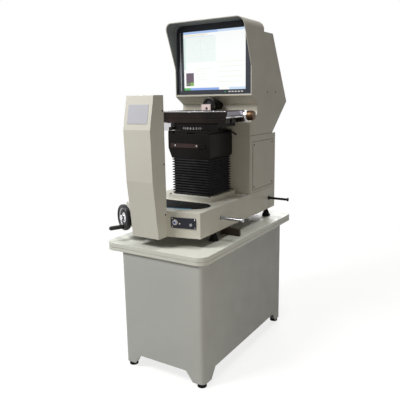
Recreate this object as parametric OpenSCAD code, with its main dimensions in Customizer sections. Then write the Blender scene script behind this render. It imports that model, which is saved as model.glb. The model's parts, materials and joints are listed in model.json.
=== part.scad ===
// Floor-standing optical comparator with a lift stage and a hooded screen, in millimetres, +Z up.

/* [Stand] */
// Width of the cabinet stand
stand_w = 446; // [380:1:520]
// Depth of the cabinet stand
stand_d = 838; // [760:1:900]
// Height of the levelling feet under the stand
level_h = 20; // [14:1:30]
// Height of the cut-outs between the legs
cut_h = 48; // [30:1:70]
// Height of the tabletop above the floor
table_z = 609; // [560:1:680]
// Thickness of the tabletop board
table_t = 36; // [25:1:45]
// Width of the tabletop board
table_w = 548; // [540:1:600]
// Depth of the tabletop board
table_d = 971; // [900:1:1000]
// Corner radius of the tabletop board
table_r = 48; // [30:1:80]

/* [Body] */
// Width of the base, the column and the head
body_w = 460; // [450:1:500]
// Height of the rubber feet under the base
foot_h = 45; // [36:1:60]
// Height of the base casting
base_h = 117; // [112:1:140]
// Height of the column above the base
column_h = 302; // [296:1:330]
// Wall thickness of the base casting
base_wall = 12; // [9:0.5:14]
// Reach of the lifting rods
rod_len = 117; // [90:1:150]

/* [Lamp] */
// Width of the lamp column
lamp_w = 146; // [130:1:160]
// Radius of the condenser barrel
cond_r = 30; // [24:0.5:34]

/* [Lift] */
// Width of the bellows
bellows_w = 216; // [206:1:226]
// Depth of the bellows
bellows_d = 226; // [210:1:230]
// Number of pleats in the bellows
pleats = 14; // [8:1:18]
// Radius of the guide posts
post_r = 12; // [9:0.5:13]
// Radius of the lift screw
screw_r = 9; // [7:0.5:10]
// Radius of the handwheel
wheel_r = 62; // [50:1:64]
// Radial running clearance of shafts and posts
run_gap = 0.05; // [0.03:0.01:0.08]

/* [Stage] */
// Length of the stage table
stage_l = 380; // [360:1:400]
// Depth of the stage table
stage_d = 190; // [180:1:194]
// Half of the stage travel
stage_half = 60; // [40:1:60]
// Gap between flat sliding faces
slide_gap = 0.1; // [0.05:0.05:0.2]

/* [Head] */
// Width of the screen's picture
screen_w = 376; // [340:1:384]
// Height of the screen's picture
screen_h = 301; // [270:1:306]
// Radius of the lens barrel
lens_r = 28; // [24:0.5:28]

/* [Hidden] */
$fn = 64;
// Clearance of parts that are fitted but don't run
fit_gap = 0.3;
// Stand
leg_z = level_h;
stand_top = table_z - table_t;
table_x0 = -314;
table_y0 = -427;
level_r = 21;
// Groove round the tabletop's edge
groove_h = 2;
groove_t = 1.5;
// Body
mx = -80;
bx0 = mx - body_w / 2;
bx1 = mx + body_w / 2;
base_z = table_z + foot_h;
base_top = base_z + base_h;
neck_z = base_top + column_h;
axis_z = neck_z + 157;
nose_y = -343;
base_back = 484;
col_y = 170;
top_t = 15;
lamp_x0 = mx - lamp_w / 2;
lamp_x1 = mx + lamp_w / 2;
right_slope = 32 / 157;
panel_a = atan(right_slope);
right_y = nose_y + (bx1 - lamp_x1) * right_slope;
tray_x = 123;
tray_y = -187;
tray_r = 75;
tray_a = 16;
tray_steps = 16;
// Bar that lies on the table under the base's right side
bar_l = 106;
bar_d = 12;
bar_h = 36;
// Lift and handwheel
rod_r = 6.5;
rim_t = 16;
rim_half = 13;
pin_at = wheel_r - 18;
grip_len = 58;
lift_x = -50;
lift_y = 30;
wheel_a = 27;
arm_len = 432;
shaft_z = base_z + 65;
shaft_r = 8;
left_slope = tan(wheel_a);
left_y = nose_y + (lamp_x0 - bx0) * left_slope;
facet_off = arm_len - ((lift_x - lamp_x0) * sin(wheel_a) + (lift_y - nose_y) * cos(wheel_a));
plate_t = 24;
bel_z = base_top + plate_t;
bel_h = 181;
sad_z = bel_z + bel_h;
sad_top = sad_z + 119;
sad_left = 128;
sad_right = 115;
sad_d = 216;
guide_h = 5.8;
post_x = 70;
post_top = bel_z + 215;
nut_z = bel_z + 100;
// Stage stack
focus_t = 15;
swivel_t = 17;
bed_t = 20;
table_th = 56;
foc_z = sad_top + slide_gap;
pivot_r = 12;
lever_len = 36;
swv_z = foc_z + focus_t + slide_gap;
pivot_h = swv_z - sad_top - guide_h - 1;
bed_z = swv_z + swivel_t;
stg_z = bed_z + bed_t + slide_gap;
stg_top = stg_z + table_th;
stg_y = 25;
tab_y = stg_y + 10;
rail_h = 18;
rail_w = 20;
end_t = 18;
end_d = 56;
knob_y = tab_y + stage_d / 2 - end_d / 2;
knob_z = stg_z + 31;
knob_r = 27;
drive_r = 6;
// Head
head_wall = 5;
hood_wall = 4;
shoulder_r = 40;
face_y = col_y + 18;
recess = 19;
mon_y = face_y + recess;
pic_z = neck_z + 234;
chin_z = pic_z - 33;
lip_z = pic_z - 24;
head_top = pic_z + screen_h + 37;
neck_y = col_y + 85;
neck_top = chin_z - 42;
bulk_y = col_y + 140;
bulk_t = 8;
lens_y = col_y - 20;
flange_r = 40;
// Top block's round back edge, and the slope behind it
block_y = col_y + 120;
block_r = 38;
slope_y = col_y + 267;
slope_z = head_top - 53;
back_y = col_y + 467;
back_z = neck_z + 166;
heel_y = col_y + 273;
hood_z = head_top - 225;
hood_reach = 90;
cover_w = 360;
cover_t = 1.6;
// The frame's origin lies on the floor under the middle of the whole outline
low_x = min(table_x0, bx0);
high_x = bx1 + rod_len;
low_y = -442;
high_y = back_y;
off_x = -(low_x + high_x) / 2;
off_y = -(low_y + high_y) / 2;

// Helpers

module at_frame() {
    translate([off_x, off_y, 0]) children();
}

// A side outline of [y, z] points carried along +X
module along_x(x0, len, pts) {
    translate([x0, 0, 0]) rotate([90, 0, 90]) linear_extrude(len) polygon(pts);
}

// A front outline of [x, z] points carried along +Y
module along_y(y0, len, pts) {
    translate([0, y0 + len, 0]) rotate([90, 0, 0]) linear_extrude(len) polygon(pts);
}

module bar_x(x0, y, z, len, r) {
    translate([x0, y, z]) rotate([0, 90, 0]) cylinder(h = len, r = r);
}

module bar_y(x, y0, z, len, r) {
    translate([x, y0, z]) rotate([-90, 0, 0]) cylinder(h = len, r = r);
}

module bar_z(x, y, z0, len, r) {
    translate([x, y, z0]) cylinder(h = len, r = r);
}

// A plate with rounded upright corners
module round_plate(x0, y0, z0, w, d, h, r) {
    translate([x0, y0, z0]) linear_extrude(h) {
        translate([r, 0]) square([w - 2 * r, d]);
        translate([0, r]) square([w, d - 2 * r]);
        for (x = [r, w - r], y = [r, d - r]) translate([x, y]) circle(r = r);
    }
}

// A closed outline of points in clockwise order, moved inwards by t
function side_normal(a, b) = [b[1] - a[1], a[0] - b[0]] / norm(b - a);
function inset_pts(p, t) = [for (i = [0 : len(p) - 1])
    let (a = p[(i + len(p) - 1) % len(p)], b = p[i], c = p[(i + 1) % len(p)],
        m = side_normal(a, b), n = side_normal(b, c)) b + t * (m + n) / (1 + m * n)];

// The space inside the head's rounded shoulders
module shoulder_space(y0, len, inset) {
    w = body_w - 2 * inset;
    r = shoulder_r - inset;
    top = head_top - inset;
    translate([bx0 + inset, y0 + len, 0]) rotate([90, 0, 0]) linear_extrude(len) {
        square([w, top - r]);
        translate([r, 0]) square([w - 2 * r, top]);
        translate([r, top - r]) circle(r = r);
        translate([w - r, top - r]) circle(r = r);
    }
}

// The handwheel's axis points along -Y here and the wheel's middle is at zero
module at_wheel() {
    translate([lift_x - arm_len * sin(wheel_a), lift_y - arm_len * cos(wheel_a), shaft_z])
        rotate([0, 0, -wheel_a]) children();
}

// The slanted panel's outward side points along -Y here
module at_panel() {
    translate([(bx1 + lamp_x1) / 2, (right_y + nose_y) / 2, base_z + 68])
        rotate([0, 0, panel_a]) children();
}

// Stand

module cabinet() color([0.62, 0.63, 0.61]) at_frame() {
    w = stand_w / 2;
    d = stand_d / 2;
    h = stand_top - leg_z;
    difference() {
        round_plate(-w, -d, leg_z, stand_w, stand_d, h, 24);
        round_plate(-w + 3, -d + 3, leg_z - 1, stand_w - 6, stand_d - 6, h - 2, 21);
        along_y(-d - 1, stand_d + 2, [[-w + 58, leg_z - 1], [w - 58, leg_z - 1],
            [w - 95, leg_z + cut_h], [-w + 95, leg_z + cut_h]]);
        along_x(-w - 1, stand_w + 2, [[-d + 64, leg_z - 1], [d - 64, leg_z - 1],
            [d - 101, leg_z + cut_h], [-d + 101, leg_z + cut_h]]);
    }
    for (sx = [-1, 1], sy = [-1, 1])
        difference() {
            translate([sx * (w - 27) - 25.5, sy * (d - 27) - 25.5, leg_z]) round_plate(0, 0, 0, 51, 51, 6, 20);
            bar_z(sx * (w - 27), sy * (d - 27), leg_z - 1, 8, 6 + fit_gap);
        }
}

module tabletop() color([0.85, 0.85, 0.8]) at_frame()
    difference() {
        round_plate(table_x0, table_y0, stand_top, table_w, table_d, table_t, table_r);
        difference() {
            translate([table_x0 - 1, table_y0 - 1, stand_top + table_t * 0.4]) cube([table_w + 2, table_d + 2, groove_h]);
            round_plate(table_x0 + groove_t, table_y0 + groove_t, stand_top, table_w - 2 * groove_t,
                table_d - 2 * groove_t, table_t, table_r - groove_t);
        }
    }

module level_foot(sx, sy) {
    x = sx * (stand_w / 2 - 27);
    y = sy * (stand_d / 2 - 27);
    bar_z(x, y, 0, level_h - 6, level_r);
    bar_z(x, y, level_h - 6, 6, 11);
    bar_z(x, y, level_h, 22, 6);
}

module level_foot_fl() color([0.06, 0.06, 0.06]) at_frame() level_foot(-1, -1);
module level_foot_fr() color([0.06, 0.06, 0.06]) at_frame() level_foot(1, -1);
module level_foot_bl() color([0.06, 0.06, 0.06]) at_frame() level_foot(-1, 1);
module level_foot_br() color([0.06, 0.06, 0.06]) at_frame() level_foot(1, 1);

// Base

module machine_foot(sx, y) {
    x = mx + sx * (body_w / 2 - 20);
    translate([x, y, table_z]) cylinder(h = foot_h - 15, r1 = 24, r2 = 12);
    bar_z(x, y, table_z + foot_h - 15, 15, 9);
}

module machine_foot_fl() color([0.05, 0.05, 0.05]) at_frame() machine_foot(-1, -163);
module machine_foot_fr() color([0.05, 0.05, 0.05]) at_frame() machine_foot(1, -163);
module machine_foot_bl() color([0.05, 0.05, 0.05]) at_frame() machine_foot(-1, 417);
module machine_foot_br() color([0.05, 0.05, 0.05]) at_frame() machine_foot(1, 417);

// The tray's outline in the base's top, grown by g on every side: round ends and a front that follows the nose
function tray_end(r) = [for (i = [0 : tray_steps]) let (a = tray_a - 90 + (180 - tray_a) * i / tray_steps)
    [tray_x + r * cos(a), r * sin(a)]];
module tray_outline(g) {
    r = tray_r + g;
    end = tray_end(r);
    front = [0, end[0][1] - end[0][0] * tan(tray_a)];
    translate([mx, tray_y]) polygon(concat([front], end, [for (i = [tray_steps : -1 : 0]) [-end[i][0], end[i][1]]]));
}

module base() color([0.83, 0.82, 0.76]) at_frame() {
    t = base_wall;
    difference() {
        translate([0, 0, base_z]) linear_extrude(base_h) polygon([[bx1, base_back], [bx1, right_y],
            [lamp_x1, nose_y], [lamp_x0, nose_y], [bx0, left_y], [bx0, base_back]]);
        translate([0, 0, base_z - 1]) linear_extrude(base_h - top_t + 1) polygon([[bx1 - t, base_back - t],
            [bx1 - t, right_y + t], [lamp_x1, nose_y + t + 1], [lamp_x0, nose_y + t + 1],
            [bx0 + t, left_y + t], [bx0 + t, base_back - t]]);
        translate([0, 0, base_top - 8]) linear_extrude(9) tray_outline(0);
        bar_z(lift_x, lift_y, base_top - top_t - 1, top_t + 2, 20);
        bar_z(mx, 330, base_top - top_t - 1, top_t + 2, 40);
        at_wheel() bar_y(0, facet_off - 5, 0, 40, 16);
        at_panel() bar_y(-40, -5, 2, 45, 13);
        at_panel() bar_y(38, -5, -4, 45, 6);
    }
    // Pads over the feet
    for (sx = [-1, 1], y = [-163, 417])
        difference() {
            bar_z(mx + sx * (body_w / 2 - 20), y, base_z, base_h - top_t, 18);
            bar_z(mx + sx * (body_w / 2 - 20), y, base_z - 1, 1, 12);
        }
}

module tray_mat() color([0.04, 0.04, 0.045]) at_frame()
    translate([0, 0, base_top - 8]) linear_extrude(6) tray_outline(-fit_gap);

module lifting_rod(sx, y) {
    mirror([sx < 0 ? 1 : 0, 0, 0]) {
        x = sx < 0 ? -bx0 : bx1;
        bar_x(x, y, base_z + 60, 8, rod_r + 4);
        bar_x(x + 8, y, base_z + 60, rod_len - 14, rod_r);
        bar_x(x + rod_len - 6, y, base_z + 60, 6, rod_r + 3);
    }
}

module rod_cap_f() color([0.75, 0.75, 0.76]) at_frame() rod_cap(-130);
module rod_fr() color([0.75, 0.75, 0.76]) at_frame() lifting_rod(1, -130);
module rod_cap_b() color([0.08, 0.08, 0.08]) at_frame() rod_cap(405);
module rod_br() color([0.08, 0.08, 0.08]) at_frame() lifting_rod(1, 405);

// On the left the rods are taken out and round caps close their holes
module rod_cap(y) {
    bar_x(bx0 - 4, y, base_z + 60, 4, rod_r + 4);
}

// A flat bar stands on the table under the base and shows on the right
module rest_bar() color([0.12, 0.1, 0.08]) at_frame()
    translate([bx1 + 54 - bar_l, -47, table_z]) cube([bar_l, bar_d, bar_h]);

// Lamp column

module lamp_column() color([0.84, 0.83, 0.77]) at_frame() {
    z = base_z;
    difference() {
        along_x(lamp_x0, lamp_w, [[nose_y, z], [nose_y - 64, z], [nose_y - 93, z + 257],
            [nose_y - 99, z + 482], [nose_y - 67, axis_z + 50], [nose_y, axis_z + 50]]);
        along_x(lamp_x0 + 4, lamp_w - 8, [[nose_y - 4, z - 1], [nose_y - 59.9, z - 1], [nose_y - 89, z + 257],
            [nose_y - 94.9, z + 481.6], [nose_y - 63.8, axis_z + 46], [nose_y - 4, axis_z + 46]]);
        bar_y(mx, nose_y - 10, axis_z, 20, cond_r + fit_gap);
    }
}

module lamp_plate() color([0.78, 0.77, 0.82]) at_frame() {
    lean = atan(32 / (axis_z + 50 - base_z - 482));
    translate([mx, nose_y - 99, base_z + 482]) rotate([-lean, 0, 0])
        translate([-54, -1.2, 26]) cube([108, 1.2, 82]);
}

module condenser_barrel() color([0.1, 0.1, 0.1]) at_frame()
    difference() {
        union() {
            bar_y(mx, nose_y - 12, axis_z, 62, cond_r);
            bar_y(mx, nose_y, axis_z, 6, cond_r + 10);
        }
        bar_y(mx, nose_y - 13, axis_z, 64, cond_r - 6);
    }

module condenser_lens() color([0.8, 0.86, 0.9, 0.5]) at_frame()
    bar_y(mx, nose_y + 38, axis_z, 7, cond_r - 6);

module lamp_block() color([0.3, 0.3, 0.31]) at_frame() {
    translate([mx - 28, nose_y - 44, axis_z - 30]) cube([56, 32, 60]);
    bar_y(mx, nose_y - 12, axis_z, 16, 8);
}

// Control panel

module control_panel() color([0.05, 0.05, 0.055]) at_frame() at_panel()
    difference() {
        translate([-60, 0, -24]) rotate([90, 0, 0]) round_plate(0, 0, 0, 120, 48, 3, 4);
        bar_y(-40, -5, 2, 8, 9 + run_gap);
        bar_y(38, -5, -4, 8, 3 + run_gap);
    }

module start_button() color([0.9, 0.9, 0.9]) at_frame() at_panel() {
    bar_y(-40, -9, 2, 22, 9);
    bar_y(-40, fit_gap, 2, 4, 12);
}

module light_knob() color([0.85, 0.85, 0.85]) at_frame() at_panel() {
    bar_y(38, -11, -4, 7.7, 6);
    bar_y(38, -4, -4, 16, 3);
    bar_y(38, fit_gap, -4, 4, 5.5);
}

// Handwheel and its shaft

module wheel_bushing() color([0.35, 0.35, 0.36]) at_frame() at_wheel()
    difference() {
        union() {
            bar_y(0, facet_off - 10, 0, 10, 28);
            bar_y(0, facet_off, 0, 22, 16 - fit_gap);
        }
        bar_y(0, facet_off - 11, 0, 34, shaft_r + run_gap);
    }

module wheel_shaft() color([0.6, 0.6, 0.62]) at_frame() at_wheel() {
    bar_y(0, 10, 0, arm_len - 40, shaft_r);
    bar_y(0, facet_off + 22 + fit_gap, 0, 6, 14);
    translate([0, arm_len - 30.4, 0]) rotate([-90, 0, 0]) cylinder(h = 16, r1 = 30, r2 = 14);
    bar_y(0, arm_len - 44, 0, 14, 18);
}

module handwheel() color([0.05, 0.05, 0.05]) at_frame() at_wheel() {
    rotate([90, 0, 0]) rotate_extrude() translate([wheel_r - rim_t / 2, 0]) {
        square([rim_t, 2 * rim_half - rim_t], center = true);
        for (end = [-1, 1]) translate([0, end * (rim_half - rim_t / 2)]) circle(r = rim_t / 2);
    }
    difference() {
        union() {
            bar_y(0, -3, 0, 6, wheel_r - rim_t + 2);
            bar_y(0, -16, 0, 26, 15);
            bar_y(0, -rim_half - 0.5, -pin_at, rim_half + 0.5, 9);
        }
        for (a = [0 : 120 : 240]) rotate([0, a, 0]) bar_y(0, -10, (wheel_r - rim_t) / 2 + 8, 20, 6);
    }
    bar_y(0, -rim_half - grip_len - 4, -pin_at, rim_half + grip_len + 2, 4);
    bar_y(0, -rim_half - grip_len - 6, -pin_at, 4, 7);
}

module crank_grip() color([0.04, 0.04, 0.04]) at_frame() at_wheel()
    difference() {
        bar_y(0, -rim_half - 1 - grip_len, -pin_at, grip_len, 10);
        bar_y(0, -rim_half - 2 - grip_len, -pin_at, grip_len + 4, 4 + run_gap);
    }

// Lift

module bellows_plate() color([0.84, 0.83, 0.77]) at_frame()
    difference() {
        round_plate(lift_x - 125, lift_y - 130, base_top, 250, 256, plate_t, 8);
        bar_z(lift_x, lift_y, base_top - 1, plate_t + 2, screw_r + run_gap);
    }

module guide_post(sx) {
    bar_z(lift_x + sx * post_x, lift_y, bel_z, post_top - bel_z, post_r);
}

module guide_post_l() color([0.7, 0.7, 0.72]) at_frame() guide_post(-1);
module guide_post_r() color([0.7, 0.7, 0.72]) at_frame() guide_post(1);

module lift_screw() color([0.65, 0.65, 0.67]) at_frame() {
    bar_z(lift_x, lift_y, shaft_z + 14.4, bel_z + 190 - shaft_z - 14.4, screw_r);
    translate([lift_x, lift_y, shaft_z + 14.4]) cylinder(h = 16, r1 = 14, r2 = 30);
    bar_z(lift_x, lift_y, shaft_z + 30.4, base_top - fit_gap - shaft_z - 30.4, 16);
    bar_z(lift_x, lift_y, bel_z + fit_gap, 6, 15);
}

// A zigzag half outline of the bellows from the bottom to the top
function zig(half, deep) = [for (i = [0 : 2 * pleats])
    [half - (i % 2 == 0 ? deep : 0), bel_z + fit_gap + (bel_h - 2 * fit_gap) * i / (2 * pleats)]];
function both_sides(c, half, deep) = concat([for (p = zig(half, deep)) [c + p[0], p[1]]],
    [for (i = [2 * pleats : -1 : 0]) [c - zig(half, deep)[i][0], zig(half, deep)[i][1]]]);

module bellows() color([0.04, 0.04, 0.045]) at_frame()
    difference() {
        intersection() {
            along_y(lift_y - bellows_d / 2 - 1, bellows_d + 2, both_sides(lift_x, bellows_w / 2, 8));
            along_x(lift_x - bellows_w / 2 - 1, bellows_w + 2, both_sides(lift_y, bellows_d / 2, 8));
        }
        translate([lift_x - bellows_w / 2 + 11, lift_y - bellows_d / 2 + 11, bel_z - 1])
            cube([bellows_w - 22, bellows_d - 22, bel_h + 2]);
    }

module saddle() color([0.06, 0.06, 0.065]) at_frame()
    difference() {
        union() {
            intersection() {
                along_y(lift_y - sad_d / 2, sad_d, [[lift_x - bellows_w / 2, sad_z], [lift_x + bellows_w / 2, sad_z],
                    [lift_x + sad_right, sad_z + 12], [lift_x + sad_right, sad_top], [lift_x - sad_left, sad_top],
                    [lift_x - sad_left, sad_z + 48]]);
                difference() {
                    translate([lift_x - 2 * sad_left, lift_y - sad_d, sad_z - 1]) cube([4 * sad_left, 2 * sad_d, 140]);
                    translate([lift_x - sad_left + 30, lift_y - sad_d / 2 + 20, sad_z - 2])
                        cube([sad_left + sad_right - 48, sad_d - 40, 91]);
                }
            }
            for (sx = [-1, 1]) bar_z(lift_x + sx * post_x, lift_y, bel_z + 85, sad_z + 92 - bel_z - 85, post_r + 10);
            translate([lift_x - 19.9, lift_y - 90, sad_top - 1]) cube([39.8, 180, guide_h + 1]);
        }
        for (sx = [-1, 1]) bar_z(lift_x + sx * post_x, lift_y, bel_z + 80, sad_z + 89 - bel_z - 80, post_r + run_gap);
    }

module saddle_strip() color([0.12, 0.12, 0.13]) at_frame()
    translate([lift_x - 112, lift_y - sad_d / 2 - 3, sad_z + 52]) cube([200, 3, 20]);

module lift_nut() color([0.72, 0.58, 0.3]) at_frame()
    difference() {
        union() {
            bar_z(lift_x, lift_y, nut_z, sad_z + 89 - nut_z, 20);
            bar_z(lift_x, lift_y, sad_z + 81, 8, 32);
        }
        bar_z(lift_x, lift_y, nut_z - 1, 60, screw_r + run_gap);
        bar_z(lift_x, lift_y, nut_z + 40, sad_z + 90 - nut_z - 40, 13);
    }

// Focus slide, swivel and stage

module focus_slide() color([0.07, 0.07, 0.075]) at_frame()
    difference() {
        translate([lift_x - 100, lift_y - 100, foc_z]) cube([200, 200, focus_t]);
        translate([lift_x - 20, lift_y - 101, foc_z - 1]) cube([40, 202, guide_h + 1.2]);
        bar_z(lift_x, stg_y, foc_z + 3, focus_t, pivot_r + run_gap);
        bar_x(lift_x + 80, lift_y + 76, foc_z + 7.5, 40, 4 + run_gap);
    }

module clamp_lever() color([0.05, 0.05, 0.05]) at_frame()
    translate([lift_x + 100, lift_y + 76, foc_z + 7.5]) {
        bar_x(-18, 0, 0, 20, 4);
        bar_x(fit_gap, 0, 0, 28, 6);
        translate([22, 0, 0]) rotate([-125, 0, 0]) rotate([0, 28, 0]) {
            cylinder(h = lever_len, r1 = 5, r2 = 4);
            translate([0, 0, lever_len]) sphere(r = 6);
        }
    }

module swivel_plate() color([0.09, 0.09, 0.095]) at_frame() {
    bar_z(lift_x, stg_y, swv_z, swivel_t, 96);
    bar_z(lift_x, stg_y, swv_z - pivot_h, pivot_h + 1, pivot_r);
}

module stage_bed() color([0.1, 0.1, 0.11]) at_frame() {
    translate([lift_x - 145, stg_y - 80, bed_z]) cube([290, knob_y + 14 - stg_y + 80, bed_t]);
    for (y = [-45, 15]) translate([lift_x - 145, stg_y + y, bed_z + bed_t - 1]) cube([290, rail_w, rail_h + 1]);
    difference() {
        translate([lift_x - 20, knob_y - 10, bed_z + bed_t - 1]) cube([40, 20, 45]);
        bar_x(lift_x - 21, knob_y, knob_z, 42, drive_r + run_gap);
    }
}

module read_head() color([0.75, 0.75, 0.74]) at_frame() {
    translate([lift_x - 154, stg_y - 112, bed_z + 1]) cube([50, 32, 18]);
    translate([lift_x - 154, stg_y - 112, bed_z - 17]) cube([38, 30, 18.5]);
}

module stage_table() color([0.08, 0.08, 0.085]) at_frame() {
    x0 = lift_x - stage_l / 2;
    y0 = tab_y - stage_d / 2;
    g = slide_gap;
    difference() {
        union() {
            translate([x0, y0, stg_z]) cube([stage_l, stage_d, table_th]);
            // Bearing block of the drive at the right end
            translate([x0 + stage_l - 1, y0 + stage_d - end_d, stg_z + 3]) cube([end_t + 1, end_d, table_th - 6]);
        }
        // Shadow groove between the skirt and the table
        for (s = [0, 1]) translate([x0 - 1, y0 + s * (stage_d - 2) - 1, stg_z + 20]) cube([stage_l + 2, 4, 1.6]);
        for (y = [-45, 15]) translate([x0 - 1, stg_y + y - g, stg_z - 1]) cube([stage_l + 2, rail_w + 2 * g, rail_h + 1 + 2 * g]);
        translate([lift_x - 22 - stage_half, knob_y - 11, stg_z - 1]) cube([44 + 2 * stage_half, 22, 46]);
        bar_x(lift_x - 92 - stage_half, knob_y, knob_z, stage_l + end_t, drive_r + run_gap);
        // Two T-slots along the top
        for (y = [-65, -5]) {
            translate([x0 - 1, tab_y + y - 4, stg_top - 7]) cube([stage_l + 2, 8, 8]);
            translate([x0 - 1, tab_y + y - 7.5, stg_top - 13]) cube([stage_l + 2, 15, 6.5]);
        }
    }
}

module stage_knob() color([0.45, 0.33, 0.2]) at_frame() {
    x1 = lift_x + stage_l / 2 + end_t;
    bar_x(lift_x - 90 - stage_half, knob_y, knob_z, x1 + 1 - lift_x + 90 + stage_half, drive_r);
    bar_x(x1 + slide_gap, knob_y, knob_z, 10, knob_r);
    bar_x(x1 + 10, knob_y, knob_z, 32, knob_r - 4);
    bar_x(x1 + 42, knob_y, knob_z, 6, knob_r - 7);
}

// Column and head

module column() color([0.82, 0.81, 0.75]) at_frame()
    difference() {
        translate([bx0, col_y, base_top]) cube([body_w, base_back - col_y, column_h]);
        translate([bx0 + 5, col_y + 5, base_top - 1]) cube([body_w - 10, base_back - col_y - 10, column_h - 4]);
        translate([bx0 + 40, col_y + 30, neck_z - 10]) cube([body_w - 80, 210, 20]);
    }

module column_panel() color([0.82, 0.81, 0.75]) at_frame()
    translate([bx1, col_y + 34, base_top + 20]) rotate([90, 0, 90])
        round_plate(0, 0, 0, base_back - col_y - 64, column_h - 54, 1.6, 14);

function head_side() = concat(
    [[col_y, neck_z], [col_y, neck_z + 66], [neck_y - 8, neck_z + 104], [neck_y, neck_z + 120], [neck_y, neck_top],
        [face_y, chin_z], [face_y, head_top]],
    [for (a = [90 : -15 : 0]) [block_y + block_r * cos(a), head_top - block_r + block_r * sin(a)]],
    [[block_y + block_r, slope_z], [slope_y, slope_z], [back_y, back_z], [heel_y, neck_z]]);

module head_shell() color([0.83, 0.82, 0.76]) at_frame() {
    t = head_wall;
    difference() {
        intersection() {
            along_x(bx0, body_w, head_side());
            shoulder_space(col_y - 10, 500, 0);
        }
        intersection() {
            union() {
                along_x(bx0 + t, body_w - 2 * t, inset_pts(head_side(), t));
                // The front is open above the lip
                translate([bx0 + t, face_y - 1, lip_z]) cube([body_w - 2 * t, mon_y - face_y + 14, head_top - t - lip_z]);
            }
            shoulder_space(col_y - 10, 500, t);
        }
        translate([bx0 + 40, col_y + 30, neck_z - 1]) cube([body_w - 80, 210, t + 2]);
        bar_y(mx, col_y + 20, axis_z, bulk_y - col_y - 22, lens_r + fit_gap);
    }
    // Cleats behind the bezel
    for (x = [bx0 + t - 1, bx1 - t - 9])
        translate([x, mon_y + 10, lip_z + 20]) cube([10, 12, head_top - shoulder_r - lip_z - 40]);
    // Bulkhead that carries the lens and the camera
    difference() {
        translate([bx0 + t - 1, bulk_y, neck_z + 110]) cube([body_w - 2 * t + 2, bulk_t, 90]);
        bar_y(mx, bulk_y - 10, axis_z, 30, 20);
    }
}

module hood() color([0.85, 0.84, 0.78]) at_frame() {
    t = hood_wall;
    difference() {
        intersection() {
            along_x(bx0, body_w, [[face_y, hood_z], [face_y - hood_reach, head_top], [face_y, head_top]]);
            shoulder_space(face_y - 160, 170, 0);
        }
        intersection() {
            translate([bx0 + t, face_y - 190, hood_z - 40]) cube([body_w - 2 * t, 191, head_top - hood_z + 40 - t]);
            shoulder_space(face_y - 200, 210, t);
        }
    }
}

module bezel() color([0.05, 0.05, 0.055]) at_frame() {
    t = head_wall + fit_gap;
    difference() {
        intersection() {
            translate([bx0 + t, mon_y - 3, lip_z + fit_gap]) cube([body_w - 2 * t, 13, head_top - t - lip_z - fit_gap]);
            shoulder_space(mon_y - 10, 40, t);
        }
        translate([mx - screen_w / 2, mon_y - 4, pic_z]) cube([screen_w, 20, screen_h]);
        translate([mx - screen_w / 2 - 4, mon_y + 5, pic_z - 4]) cube([screen_w + 8, 20, screen_h + 8]);
    }
}

module screen() color([0.75, 0.82, 0.9]) at_frame()
    translate([mx - screen_w / 2 - 4 + fit_gap, mon_y + 5, pic_z - 4 + fit_gap])
        cube([screen_w + 8 - 2 * fit_gap, 5, screen_h + 8 - 2 * fit_gap]);

module lens_barrel() color([0.06, 0.06, 0.06]) at_frame()
    difference() {
        union() {
            bar_y(mx, lens_y, axis_z, 26, lens_r + 6);
            bar_y(mx, lens_y + 25, axis_z, neck_y + head_wall + 3 - lens_y - 25, lens_r);
            bar_y(mx, neck_y + head_wall + 2, axis_z, bulk_y - neck_y - head_wall - 2, flange_r);
        }
        bar_y(mx, lens_y - 1, axis_z, bulk_y - lens_y + 2, lens_r - 7);
    }

module lens_glass() color([0.7, 0.78, 0.85, 0.5]) at_frame()
    bar_y(mx, lens_y + 6, axis_z, 6, lens_r - 7);

module mirror_plate() color([0.88, 0.82, 0.82]) at_frame()
    difference() {
        translate([mx - 41, lens_y - 3, axis_z - 27]) cube([55, 3, 30]);
        bar_y(mx - 10, lens_y - 5, axis_z - 18, 8, 3.5);
    }

module camera() color([0.15, 0.15, 0.16]) at_frame() {
    translate([mx - 32, bulk_y + bulk_t, axis_z - 32]) cube([64, 90, 64]);
    bar_y(mx, bulk_y - 2, axis_z, bulk_t + 4, 16);
}

module rear_cover() color([0.8, 0.79, 0.73]) at_frame() {
    slope_l = norm([back_y - slope_y, slope_z - back_z]);
    tilt = atan((back_y - slope_y) / (slope_z - back_z));
    translate([mx, slope_y, slope_z]) rotate([tilt, 0, 0])
        translate([-cover_w / 2, cover_t + 0.02, 55 - slope_l]) rotate([90, 0, 0])
            round_plate(0, 0, 0, cover_w, slope_l - 115, cover_t, 12);
}

module inlet() color([0.06, 0.06, 0.06]) at_frame()
    difference() {
        translate([mx - 180, base_back, base_top + 40]) cube([60, 7, 34]);
        translate([mx - 166, base_back + 2, base_top + 48]) cube([32, 6, 18]);
    }

cabinet();
tabletop();
level_foot_fl();
level_foot_fr();
level_foot_bl();
level_foot_br();
machine_foot_fl();
machine_foot_fr();
machine_foot_bl();
machine_foot_br();
base();
tray_mat();
rod_cap_f();
rod_fr();
rod_cap_b();
rod_br();
rest_bar();
lamp_column();
lamp_plate();
condenser_barrel();
condenser_lens();
lamp_block();
control_panel();
start_button();
light_knob();
wheel_bushing();
wheel_shaft();
handwheel();
crank_grip();
bellows_plate();
guide_post_l();
guide_post_r();
lift_screw();
bellows();
saddle();
saddle_strip();
lift_nut();
focus_slide();
clamp_lever();
swivel_plate();
stage_bed();
read_head();
stage_table();
stage_knob();
column();
column_panel();
head_shell();
hood();
bezel();
screen();
lens_barrel();
lens_glass();
mirror_plate();
camera();
rear_cover();
inlet();
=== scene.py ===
"""Looks of a floor-standing optical comparator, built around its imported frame."""
import json
import math

import bmesh
import bpy
from mathutils import Euler, Matrix, Vector


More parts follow.
